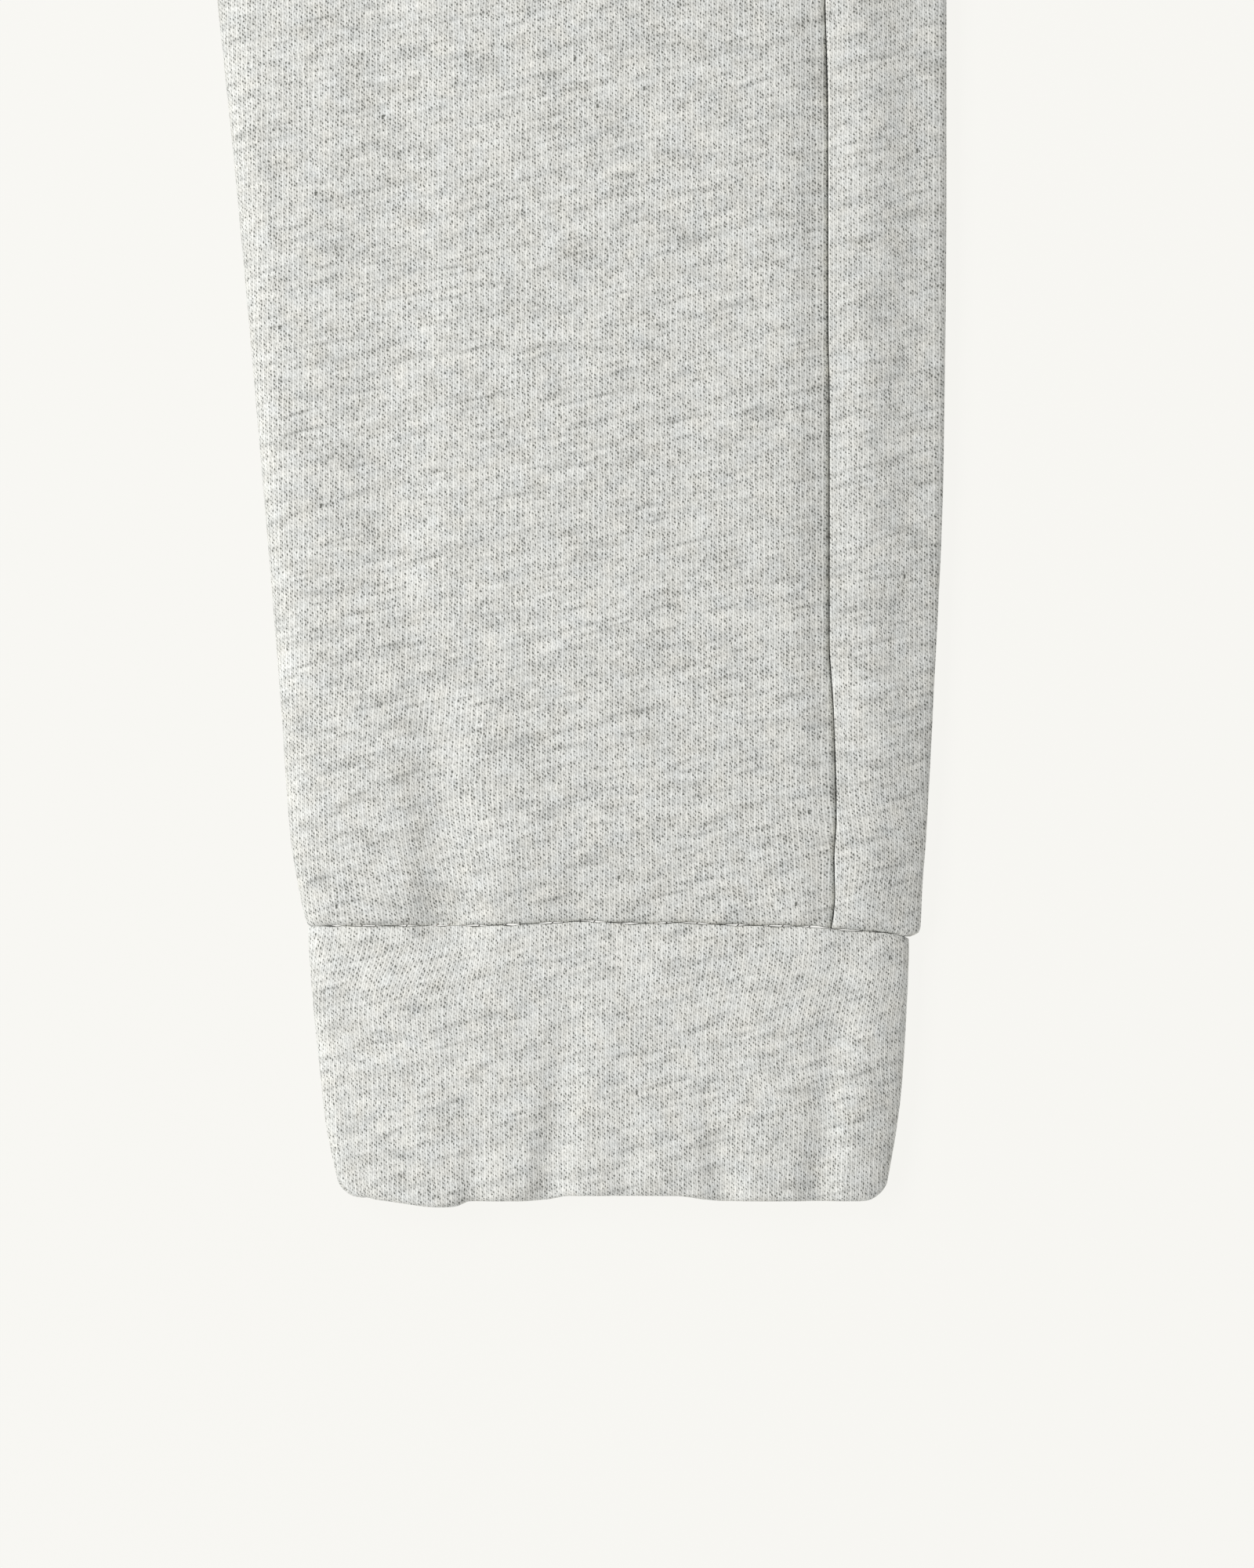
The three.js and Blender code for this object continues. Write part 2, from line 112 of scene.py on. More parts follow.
# The leg's section at heights over the hem: its inner edge, side seam, outer edge and how high it stands
LEG = columns("up inner seam outer loft", [
    (45.5, 64.8, 151.6, 166.9, 6.6),
    (51, 63.7, 152.2, 167.0, 7.2),
    (60, 62.2, 152.4, 167.7, 7.2),
    (82, 60.6, 152.2, 168.9, 7.0),
    (121, 57.4, 151.3, 170.6, 6.8),
    (168, 53.2, 151.1, 171.1, 6.8),
    (199, 50.0, 150.6, 171.1, 6.8),
    (260, 43.0, 153.2, 174.0, 6.9),
    (350, 33.0, 162.4, 184.2, 7.0),
    (450, 22.6, 178.6, 201.2, 7.1),
    (550, 13.0, 196.4, 219.8, 7.2),
    (640, 5.4, 211.2, 235.2, 7.3),
    (700, 0.07, 218.6, 243.0, 7.4),
    (740, 0.07, 220.4, 245.0, 7.4),
    (800, 0.07, 215.5, 240.0, 7.3),
    (860, 0.07, 201.5, 225.5, 7.2),
    (905, 0.07, 187.0, 209.0, 7.2),
    (925, 0.07, 178.5, 199.0, 7.3),
    (935, 0.07, 172.0, 190.0, 7.2),
])

# The side seam's wandering line in the part that the photograph shows
SIDE_SEAM = columns("up x", [
    (45.5, 151.6), (48, 152.0), (51, 152.2), (57, 152.1), (63, 152.45), (69, 152.4), (75, 152.2),
    (82, 151.95), (87, 151.6), (92, 151.3), (98, 151.3), (133, 151.3), (145, 151.1), (180, 151.05),
    (186, 150.95), (198, 150.6),
])

# Where front and back part at the inner fold: degrees round the fold, then how far underneath
INNER_SEAM = columns("up turn tuck", [
    (INSEAM - 60, 180, 6),
    (INSEAM - 35, 180, 0),
    (INSEAM, 90, 0),
    (INSEAM + 45, 0, 0),
])

# The cuff's section
CUFF = columns("up inner outer loft", [
    (3.9, 69.7, 161.5, 6.6),
    (11.7, 68.1, 162.8, 6.9),
    (19.5, 67.2, 163.7, 7.0),
    (35.1, 65.7, 164.6, 6.9),
    (45.5, 65.0, 165.0, 6.6),
])

# The cuff seam's wandering line across the leg, and the hem's, with its two bumps
SEAM_LINE = columns("x up", [
    (64.8, 45.35), (93, 45.4), (102, 45.7), (108, 46.0), (111, 46.15), (115, 45.95), (119.5, 45.75),
    (127, 45.9), (133, 45.6), (140, 45.4), (149, 45.25), (152.5, 44.8), (159.5, 44.4), (163, 44.1),
    (165.2, 43.4), (167, 44.2),
])
SEAM_LINE_REACH = 22  # how far up the leg its rows follow the cuff seam's line

HEM_LINE = columns("x up", [
    (74, 0.3), (79, -0.4), (87, -HEM_DROP), (89.5, -1.2), (92, -0.3), (100, -0.3), (105, 0.0),
    (108.5, 0.6), (126, 0.6), (131, 0.0), (134, -0.3), (157, -0.3),
])

# Soft troughs in the upper layer, deepest at their first end, and how far they reach to each side of
# their line. Side 1 is the wearer's left leg, -1 the right one and 0 both. A negative depth is a ridge.
LEG_CREASES = columns("side x up to_x to_up depth left right", [
    (1, 88.0, 44, 84.6, 92, 2.35, 7, 9.0),
    (1, 98.0, 40, 97.0, 86, -0.45, 9, 18),
    (1, 79, 108, 76, 330, 0.95, 12, 12),
    (1, 62, 44, 57, 120, 1.3, 6, 16),
    (1, 110, 46, 108, 72, 0.35, 6, 6),
    (1, 128, 50, 126, 230, 0.3, 9, 9),
    (1, 139, 44, 136, 84, 0.45, 7, 7),
    (1, 118, 340, 98, 430, 0.9, 14, 14),
    (-1, 93, 44, 97, 104, 1.5, 8, 12),
    (-1, 121, 44, 118, 86, 0.8, 6, 8),
    (-1, 79, 52, 76, 180, 0.3, 9, 9),
    (-1, 104, 300, 92, 392, 0.8, 14, 14),
    (-1, 140, 392, 118, 452, 0.6, 12, 12),
    (0, 60, 660, 120, 560, 1.0, 15, 15),
    (0, 34, 690, 80, 600, 1.1, 12, 12),
    (1, 26, 722, 92, 742, 0.9, 12, 12),
    (-1, 24, 716, 84, 730, 1.0, 11, 11),
    (1, 176, 640, 188, 540, 0.7, 13, 13),
    (-1, 168, 610, 182, 500, 0.8, 13, 13),
])

CUFF_CREASES = columns("side x up to_x to_up depth left right", [
    (1, 92.6, -1, 93.6, 14, 1.0, 3.6, 4.0),
    (1, 104.6, -1, 109.0, 37, 1.75, 4.4, 5.2),
    (1, 117.5, -1, 118.5, 17, 0.65, 4, 4),
    (1, 134.0, -1, 131.0, 24, 1.45, 4.0, 5.0),
    (1, 149.9, -1, 153.8, 44, 1.75, 4.8, 4.6),
    (1, 80.0, 47, 84, 34, 0.6, 5, 5),
    (1, 72.1, -20, 60.1, 90, 2.4, 6, 15),
    (1, 162.6, -20, 162.4, 120, 1.1, 11.5, 4.6),
    (-1, 84.0, -1, 86.5, 24, 1.1, 4.4, 4.4),
    (-1, 98.5, -1, 98.0, 15, 0.6, 4, 4),
    (-1, 113.0, -1, 110.5, 33, 1.4, 4.6, 4.6),
    (-1, 131.0, -1, 134.0, 20, 0.9, 4, 4),
    (-1, 147.0, -1, 150.5, 40, 1.4, 4.4, 4.4),
])

# Where the knit columns lean from upright, in degrees, clockwise, and how far round
WALE_LEANS = columns("x up lean across along", [
    (80, 38, 17, 14, 9),
    (84, 58, -9, 13, 17),
    (152, 34, 16, 22, 14),
    (160, 52, 15, 12, 9),
    (150, 10, 6, 24, 14),
])
RIGHT_LEAN = 0.8  # how much of that the right leg has

# How an edge rolls down into its seam: the roll's radius, then how far and how wide the cloth sinks there
FRONT_SEAM = (1.3, 1.15, 8.0)
BACK_SEAM = (0.42, 0.5, 7.0)
LEG_END = (1.2, 0.35, 6.0)
CUFF_END = (0.45, 0.3, 4)
BAND_END = (0.6, 0.4, 5)
UNDERSIDE_ROLL = 0.4  # how much of a leg end's or cuff end's roll the underside has
SEAM_GAP = 0.035  # between the rolled edges that meet in a side seam
SEAM_SHIFT, SHIFT_REACH = 0.36, 2.5  # how far the groove's middle lies beside the solids' seam
# Widths of the slit in the seams across, how far it swings, and the seed and length of its waves
LEAST_SLIT, USUAL_SLIT, SLIT_SWING, SLIT_WAVE = 0.025, 0.13, 0.24, (31, 4.2)
# How much more the strip beside the seam slopes away than its solid, and from where to where
STRIP_FALL, STRIP_CREST, STRIP_SPAN = 2.5, 5.5, 15.0
# How far the middle of the upper layer stands over its folds, and how soon from the cuff and the waist
CROWN, CROWN_RISE, CROWN_FALL = 0.4, 30, 40
SINK_REACH = 7.0  # how far into the cuff the leg's creases fade out
# The cuff's small waves: depth, seed, length, and how far from its seam they reach their full depth
CUFF_UNEVENNESS, CUFF_SEED, CUFF_WAVE, CUFF_EVEN = 0.1, 7, 9, 8
CUFF_TIGHTNESS = (1.065, 0.968)  # how much closer the cuff's columns and rows are than the leg's

# Sewing thread glimpsed in the seams: half a stitch across and along its seam, and how its ends dive
STITCH_PITCH, STITCH_SHIFT = 2.4, 0.3
STITCH_ACROSS, STITCH_ALONG, STITCH_DIVE = 0.34, 0.3, 0.08
STITCH_SEED, STITCH_SIZES = 60, (0.7, 1.2)  # the least and the greatest length, as shares
# How far from its seam's ends the first and the last stitch lie
SIDE_ENDS, CUFF_ENDS = (1.2, 2), (7, 1)
THREAD_RADIUS, THREAD_RISE, THREAD_SIDES, THREAD_NEAR = 0.09, 0.1, 6, 1.2

# The waistband's main gathers and its small ones, and the puckers in the legs below it, whose depth,
# length, reach, slant and distance are drawn from these ranges
WAIST_GATHERS, GATHER_DEPTH, SMALL_DEPTH = 20, 0.7, 0.22
BAND_MEASURE = 180  # half the band's width, for the lengths of its waves
PUCKER_RANGES = ((0.35, 0.95), (16, 52), (3, 5.5), (-0.12, 0.12), (7, 17))
PUCKER_FIRST, PUCKER_LAST, PUCKER_END = 6.0, 186, 60
PUCKER_SEED, FAN_MIDDLE, FAN_LENGTH = 40, 90, 900  # they fan out to both sides of the middle

# Waves of the waistband: strength, drift sideways from seam to edge, seed and length
BAND_BEND, BAND_RIPPLE = (0.35, 0, 21, 40), (0.1, 9, 22, 14)
BAND_SMALL, BAND_UNLIKE, BAND_EDGE = (0.5, 2.2, 23, 6.5), (0.25, 0, 24, 30), (0.35, 0, 25, 13)

# Distances of mesh lines from a seam and from the edge of a fold, and the leg's rows between its ends
SEAM_STEPS = np.array([0, 0.04, 0.12, 0.26, 0.46, 0.72, 1.05, 1.5, 2.1, 2.9, 3.9, 5.1, 6.5, 8.1, 9.9])
ROUND_STEPS = np.array([0.35, 0.8, 1.4, 2.2, 3.3, 4.8, 6.6])
LEG_STRETCHES = (
    (56.5, 92, 1.1), (92, 205, 1.7), (205, 630, 4.0), (630, 756, 2.2), (756, 880, 3.6),
    (880, WAIST_SEAM - 10.2, 1.6),
)

# One loop of the knit, as shares of the column and row pitches: the place of its upright leg, then its
# slanted leg and the dips beside that, each with its place across and up, its slant and its sharpness
# across and up
UPRIGHT_LEG = (0.17, 3.0)
SLANTED_LEG = (0.66, 0.47, 0.37, 3.0, 0.6)
DIPS = ((0.47, 0.25, 0.37, 4.0, 1.4), (0.843, 0.695, 0.2, 4.0, 1.4))
# Means of the legs and the dips, taken off their painted highlight and painted shade so that the mean tone
# stays
MEAN_LEGS, MEAN_DIP = 0.42, 0.21
DIP_BY_TONE = (-0.7, 1.35)  # how the dips' shade falls with the tone round them
STRAND_SCALE = (7.0, 2.2, 1.0)  # fibres across and along each loop
DARKEST_TONE = -0.3  # of single fibres, where the dark yarn's colour is 0 and the light yarn's 1

# How much finer than the streaks the other fibres are, and where their noise starts
FIBRE_SCALE, FIBRE_START = (0.85, 2.1, 1.0), (7.3, 3.9, 0.0)
FINE_SCALE, FINE_START = (2.4, 2.9, 1.0), (2.7, 5.1, 0.0)
FIBRE_SPREAD, FIBRE_POWER = (3.4, -1.75), 1.5  # which leaves only the thickest of the dark fibres
COOL_TINT, WARM_TINT = (0.978, 0.993, 1.014, 1), (1.018, 0.999, 0.970, 1)
WARMTH_SPREAD = (1.6, -0.3)
DARK_THREAD, LIGHT_THREAD = (0.25, 0.22, 0.20, 1), (0.50, 0.46, 0.42, 1)

# The photograph's frame, looked at from straight above
VIEW_CENTRE = (118.06, 68.9)
VIEW_HEIGHT = 260.0
LENS = 200.0
SENSOR = 36.0
MIDDLE_OF_CLOTH = 5.0

# The studio, in metres
KEY_SIZE, KEY_OFFSET = (0.45, 1.2), (-0.62, 0.22, 0.74)
FLOOR_HALF, FLOOR_DROP = 6.0, 0.0002
FLOOR_BASE, FLOOR_GLOW = (0.05, 0.05, 0.048, 1), 0.955  # it glows, so that its tone stays even


def ease(value):
    """A value held between 0 and 1, that starts and ends softly."""
    value = np.clip(value, 0, 1)
    return value * value * (3 - 2 * value)


def along(table, column, at):
    """A table's column at places on its first column, by cubic pieces that don't overshoot."""
    keys, values = next(iter(table.values())), table[column]
    spans = np.diff(keys)
    slopes = np.diff(values) / spans
    before, after = slopes[:-1], slopes[1:]
    total = np.where(before * after > 0, before + after, 1)
    inner = np.where(before * after > 0, 2 * before * after / total, 0)
    tangents = np.concatenate([slopes[:1], inner, slopes[-1:]])
    i = np.clip(np.searchsorted(keys, at, "right") - 1, 0, len(spans) - 1)
    t = np.clip((at - keys[i]) / spans[i], 0, 1)
    return (
        values[i] * (1 + 2 * t) * (1 - t) ** 2
        + tangents[i] * spans[i] * t * (1 - t) ** 2
        + values[i + 1] * t * t * (3 - 2 * t)
        + tangents[i + 1] * spans[i] * t * t * (t - 1)
    )


def creases(table, side, x, up):
    """How deep the creases of one side are at points of the upper layer."""
    depth = np.zeros(np.broadcast(x, up).shape)
    for which, x0, up0, x1, up1, deep, left, right in zip(*table.values()):
        if which not in (0, side):
            continue
        dx, dy = x1 - x0, up1 - up0
        share = np.clip(((x - x0) * dx + (up - up0) * dy) / (dx * dx + dy * dy), 0, 1)
        beside = x - x0 - share * dx
        away = np.hypot(beside, up - up0 - share * dy)
        reach = np.where(beside < 0, left, right)
        depth += deep * (1 - share) * (1 - ease(away / reach))
    return depth


def roll(distance, radius, sink, reach):
    """How far the cloth lies below its layer at a distance from a seam."""
    near = np.clip(distance, 0, radius)
    rounded = radius - np.sqrt(np.maximum(0, radius**2 - (radius - near) ** 2))
    return rounded + sink * (1 - ease(distance / reach)) ** 2


def end_roll(distance, shape, relief):
    """How far an end of a leg or cuff rolls down, less on its underside."""
    return roll(distance, *shape) * (UNDERSIDE_ROLL + (1 - UNDERSIDE_ROLL) * relief)


def waves(at, seed, pitch, count=5):
    """An uneven wave of about one unit, with lengths round the pitch."""
    draw = np.random.default_rng(seed)
    lengths = pitch * draw.uniform(0.6, 1.9, count)
    phases = draw.uniform(0, 2 * np.pi, count)
    strengths = draw.uniform(0.5, 1.0, count)
    parts = [s * np.sin(2 * np.pi * at / l + p) for l, p, s in zip(lengths, phases, strengths)]
    return np.sum(parts, axis=0) / np.sqrt(count)


def slit(x):
    """How far two rolled edges stand apart in a seam across a leg: less where a stitch pulls them close."""
    return np.maximum(LEAST_SLIT, USUAL_SLIT + SLIT_SWING * waves(x, *SLIT_WAVE))


# Sections. A path is an array of points, each with x and z on the outer face, x and z on the inner face
# and its share of the relief: 1 on the upper layer and 0 underneath.


def arc(centre, radius, loft, wall, start, stop):
    """A fold: half an ellipse or a part of it, from one angle to another."""
    half = loft / 2
    angle = np.radians(np.linspace(start, stop, FOLD_POINTS))
    c, s = np.cos(angle), np.sin(angle)
    outer = [centre + radius * c, half + half * s]
    inner = [centre + (radius - wall) * c, half + (half - wall) * s]
    return np.array([*outer, *inner, np.maximum(0, s)]).T


def run(start, stop, loft, wall, upper):
    """A flat stretch of the upper layer or of the underside."""
    x = np.linspace(start, stop, FLAT_POINTS)
    flat = np.ones_like(x)
    z, inside = (loft, loft - wall) if upper else (0, wall)
    return np.array([x, z * flat, x, inside * flat, flat * upper]).T


def resample(path, distances):
    """Points of a path by their distance along its outer face."""
    steps = np.hypot(*np.diff(path[:, :2], axis=0).T)
    reached = np.concatenate([[0], np.cumsum(steps)])
    at = distances(reached[-1])
    return np.array([np.interp(at, reached, path[:, k]) for k in range(5)]).T, at, reached[-1]


def quarter_round(radius, half):
    """Length of a quarter of an ellipse, by Ramanujan's formula."""
    unlike = ((radius - half) / (radius + half)) ** 2
    return np.pi / 4 * (radius + half) * (1 + 3 * unlike / (10 + np.sqrt(4 - 3 * unlike)))


def spread(start, middle, end):
    """Two sets of distances with even ones between them."""
    between = np.linspace(start[-1], end[0], middle + 2)[1:-1]
    return np.concatenate([start, between, end])


def leg_section(up):
    """The sizes of the leg's section at a height."""
    size = {name: along(LEG, name, up) for name in ("inner", "seam", "outer", "loft")}
    if up < SIDE_SEAM["up"][-1]:
        size["seam"] = along(SIDE_SEAM, "x", up)
    size["turn"] = along(INNER_SEAM, "turn", up)
    size["tuck"] = along(INNER_SEAM, "tuck", up)
    size["fold"] = OUTER_FOLD_SHARE * (size["outer"] - size["seam"])
    return size


def inner_centre(size, turn):
    """Where the middle of the inner fold lies."""
    return size["inner"] + INNER_FOLD * np.sin(np.radians(min(90, turn)))


def front_path(up):
    """The front's section, from the side seam over the top and round the inner fold."""
    size = leg_section(up)
    centre = inner_centre(size, size["turn"])
    parts = [
        run(size["seam"], centre, size["loft"], CLOTH, True),
        arc(centre, INNER_FOLD, size["loft"], CLOTH, 90, 90 + size["turn"]),
    ]
    if size["tuck"] > LEAST_LENGTH:
        parts.append(run(centre, centre + size["tuck"], size["loft"], CLOTH, False))
    beyond = (size["turn"] - 90) / 90 * quarter_round(INNER_FOLD, size["loft"] / 2) + size["tuck"]
    edge = max(INNER_FOLD, beyond)

    def distances(total):
        end = np.concatenate([ROUND_STEPS[::-1] + edge, [edge], edge * np.linspace(0.9, 0.1, 9), [0]])
        return spread(SEAM_STEPS, FRONT_LINES, total - end)

    return np.concatenate(parts), distances


def back_path(up):
    """The back's section, from the side seam round the outer fold and along the underside."""
    size = leg_section(up)
    turn = 180 - size["turn"] if up < INSEAM else size["turn"]
    centre = inner_centre(size, 90 if up < INSEAM else turn)
    middle = size["outer"] - size["fold"]
    parts = [
        run(size["seam"], middle, size["loft"], CLOTH, True),
        arc(middle, size["fold"], size["loft"], CLOTH, 90, -90),
        run(middle, centre + size["tuck"], size["loft"], CLOTH, False),
    ]
    if turn > LEAST_TURN:
        parts.append(arc(centre, INNER_FOLD, size["loft"], CLOTH, 270, 270 - turn))
    edge = middle - size["seam"] + quarter_round(size["fold"], size["loft"] / 2)

    def distances(total):
        last = edge - ROUND_STEPS[-1]
        first = SEAM_STEPS[SEAM_STEPS < last - 0.5][:STRIP_CLOSE]
        if len(first) < STRIP_CLOSE:
            first = np.linspace(0, last, STRIP_LINES)
        rest = np.linspace(first[-1], last, STRIP_LINES - len(first) + 1)[1:]
        top = np.concatenate([first, rest, edge - ROUND_STEPS[-2::-1], [edge], edge + ROUND_STEPS])
        return spread(top, BACK_LINES, total - SEAM_STEPS[STRIP_CLOSE::-1])

    return np.concatenate(parts), distances


def leg_rows():
    """Heights of the leg's rows, closest at the seams and in the part that the photograph shows."""
    between = [np.arange(*stretch) for stretch in LEG_STRETCHES]
    return np.concatenate([CUFF_SEAM + SEAM_STEPS, *between, WAIST_SEAM - SEAM_STEPS[::-1]])


def quads(values, flip):
    """The four corners of each cell of a grid of numbers or of coordinates."""
    corners = [values[:-1, :-1], values[:-1, 1:], values[1:, 1:], values[1:, :-1]]
    return np.stack(corners[::-1] if flip else corners, 2).reshape(-1, 4, *values.shape[2:])


def new_piece(name, points, faces, side):
    """An object from points in millimetres, mirrored where its side is -1."""
    vertices = np.array(points) * MM
    vertices[:, 0] *= side
    vertices[:, 1] += HEM_LEVEL * MM
    mesh = bpy.data.meshes.new(name)
    mesh.from_pydata(vertices.tolist(), [], faces)
    mesh.shade_smooth()
    piece = bpy.data.objects.new(name, mesh)
    bpy.context.scene.collection.objects.link(piece)
    return piece


def sheet_mesh(name, outer, inner, cloth, side, rolled=None):
    """A closed wall from grids of outer and inner points, in millimetres. A column of cloth coordinates
    more than there are columns of points closes it to a ring. Rolled rows lie past its last row and
    carry a ring's outer face round to its inner one."""
    rows, count = outer.shape[:2]
    ring = cloth.shape[1] > count
    around = np.arange(count + 1) % count if ring else np.arange(count)
    points = np.concatenate([outer, *([] if rolled is None else [rolled]), inner[::-1]])
    # The rows of points go from the first row of the outer face round to the first of the inner face
    grid = np.arange(len(points) * count).reshape(len(points), count)[:, around]
    up, extra = np.arange(rows), len(points) - 2 * rows
    across = cloth[np.concatenate([up, np.full(extra, rows - 1), up[::-1]])]
    if rolled is not None:
        steps = np.linalg.norm(np.diff(np.concatenate([outer[-1:], rolled]), axis=0), axis=2).mean(1)
        onward = np.sign(cloth[-1, 0, 1] - cloth[-2, 0, 1])
        across[rows : rows + len(rolled), :, 1] += onward * np.cumsum(steps)[:, None]
    flip = side > 0
    strips = [(grid, across, flip), (grid[[-1, 0]], across[[-1, 0]], flip)]
    if not ring:
        half = len(points) // 2
        for column, turned in ((0, not flip), (count - 1, flip)):
            edges = [np.stack([g[:half, column], g[::-1][:half, column]]) for g in (grid, across)]
            strips.append((*edges, not turned))
    faces = np.concatenate([quads(numbers, turned) for numbers, _, turned in strips])
    coordinates = np.concatenate([quads(places, turned) for _, places, turned in strips])
    piece = new_piece(name, points.reshape(-1, 3), faces.tolist(), side)
    layer = piece.data.uv_layers.new(name=CLOTH_MAP)
    layer.data.foreach_set("uv", (coordinates * MM).astype(np.float32).ravel())
    piece.data.update()
    return piece


def both_faces(points, y, drop, wall, shift=0.0):
    """A section's outer and inner points, let down by a drop square to its wall."""
    x, z, inside_x, inside_z, _ = points.T
    away = np.array([inside_x - x, inside_z - z]) / wall
    return [
        np.array([across + drop * away[0] + shift, y, height + drop * away[1]]).T
        for across, height in ((x, z), (inside_x, inside_z))
    ]


def kept_apart(drop, relief, loft, wall, underside):
    """A drop that keeps the two layers apart, with its own limit on the underside."""
    return np.minimum(drop, np.where(relief > 0, loft - 2 * wall - FOLD_CLEARANCE, underside))


def lean(across, up):
    """How far the knit columns are shifted at places of the cloth where they lean."""
    shift = np.zeros(np.broadcast(across, up).shape)
    for x0, up0, angle, wide, tall in zip(*WALE_LEANS.values()):
        window = np.exp(-(((across - x0) / wide) ** 2) - ((up - up0) / tall) ** 2)
        shift += np.tan(np.radians(angle)) * (up - up0) * window
    return shift


def waist_puckers(x, above, side):
    """Short uneven gathers that run down from the waist seam."""
    if above > PUCKER_END:
        return 0
    draw = np.random.default_rng(PUCKER_SEED + side)
    depth = np.zeros_like(x)
    place = PUCKER_FIRST
    while place < PUCKER_LAST:
        deep, length, reach, slant, onward = [draw.uniform(*bounds) for bounds in PUCKER_RANGES]
        slant += (place - FAN_MIDDLE) / FAN_LENGTH
        away = np.abs(x - place - slant * above)
        depth += deep * np.clip(1 - above / length, 0, 1) * (1 - ease(away / reach))
        place += onward
    return depth


def leg_panel(name, path_at, side):
    """One panel of one leg, as a fine wall with its creases and rolled seam edges."""
    back = path_at is back_path
    outward, side_seam = (1, BACK_SEAM) if back else (-1, FRONT_SEAM)
    faces, cloth = [], []
    for up in leg_rows():
        path, distances = path_at(up)
        points, at, total = resample(path, distances)
        x, relief = points[:, 0], points[:, 4]
        size = leg_section(up)
        below, above = up - CUFF_SEAM, WAIST_SEAM - up
        y = up + (1 - ease(below / SEAM_LINE_REACH)) * (along(SEAM_LINE, "up", x) - CUFF_SEAM)
        radius, sink, reach = BACK_SEAM
        rolls = [
            roll(at, *side_seam),
            roll(total - at, radius, sink * relief[-1], reach),
            end_roll(below, LEG_END, relief),
            end_roll(above, LEG_END, relief),
        ]
        middle, half = (size["inner"] + size["seam"]) / 2, (size["seam"] - size["inner"]) / 2
        crown = CROWN * np.clip(1 - ((x - middle) / half) ** 2, 0, 1)
        crown = crown * ease(below / CROWN_RISE) * ease(above / CROWN_FALL)
        hollow = creases(LEG_CREASES, side, x, y) + waist_puckers(x, above, side) - crown
        if back:
            hollow = hollow + STRIP_FALL * ease((x - size["seam"] - STRIP_CREST) / STRIP_SPAN)
        drop = relief * hollow + np.max(rolls, axis=0)
        drop = kept_apart(drop, relief, size["loft"], CLOTH, radius)
        edge = np.where(at < 1, SEAM_GAP / 2 * (1 - at), 0)
        shift = SEAM_SHIFT * (1 - ease(at / SHIFT_REACH)) + outward * edge
        parted = slit(x) / 2 * (np.clip(1 - below, 0, 1) - np.clip(1 - above, 0, 1))
        faces.append(both_faces(points, y + parted, drop, CLOTH, shift))
        across = size["seam"] + outward * at - lean(x, y) * (1 if side > 0 else RIGHT_LEAN)
        cloth.append(np.array([side * across, y]).T)
    outer, inner = np.array(faces).swapaxes(0, 1)
    return sheet_mesh(name, outer, inner, np.array(cloth), side)


def ring_path(inner, outer, fold, loft, wall):
    """A ring's section, from the middle of its underside and round both folds."""
    middle = (inner + outer) / 2
    return np.concatenate([
        run(middle, inner + fold, loft, wall, False),
        arc(inner + fold, fold, loft, wall, 270, 90),
        run(inner + fold, outer - fold, loft, wall, True),
        arc(outer - fold, fold, loft, wall, 90, -90),
        run(outer - fold, middle, loft, wall, False),
    ])


def around_ring(underside, fold_steps, top, fold_length):
    """Distances round a ring, with an even number of steps round each fold, so that one is on its edge."""

    def distances(total):
        half = (total - 2 * fold_length) / 4
        lengths = [half, fold_length, 2 * half, fold_length, half]
        counts = [underside, fold_steps, top, fold_steps, underside]
        starts = np.concatenate([[0], np.cumsum(lengths)[:-1]])
        stretches = [s + l * np.arange(n) / n for s, l, n in zip(starts, lengths, counts)]
        return np.concatenate(stretches)

    return distances


def ring_rows(depth, count):
    """Rows from a ring's seam to its fold, as shares of the way."""
    return np.concatenate([SEAM_STEPS[:RING_CLOSE] / depth, np.linspace(RING_START / depth, 1, count)])


def ring_mesh(name, faces, cloth, side, direction):
    """A ring of rows of points, with rows that carry its folded edge round to its inner face."""
    outer, inner = np.array(faces).swapaxes(0, 1)
    middle, half = (outer[-1] + inner[-1]) / 2, (outer[-1] - inner[-1]) / 2
    rolled = []
    for angle in EDGE_TURNS:
        row = middle + half * np.cos(angle)
        row[:, 1] += direction * EDGE_ROUND * np.sin(angle)
        rolled.append(row)
    return sheet_mesh(name, outer, inner, np.array(cloth), side, np.array(rolled))


def hem_line(x, inner, outer):
    """The hem's line, with its rounded corners."""
    edge = np.clip(np.minimum(x - inner, outer - x), 0, HEM_CORNER)
    lift = roll(x - inner, INNER_CORNER, 0, 1) + roll(outer - x, OUTER_CORNER, 0, 1)
    return along(HEM_LINE, "up", x) * edge / HEM_CORNER + lift


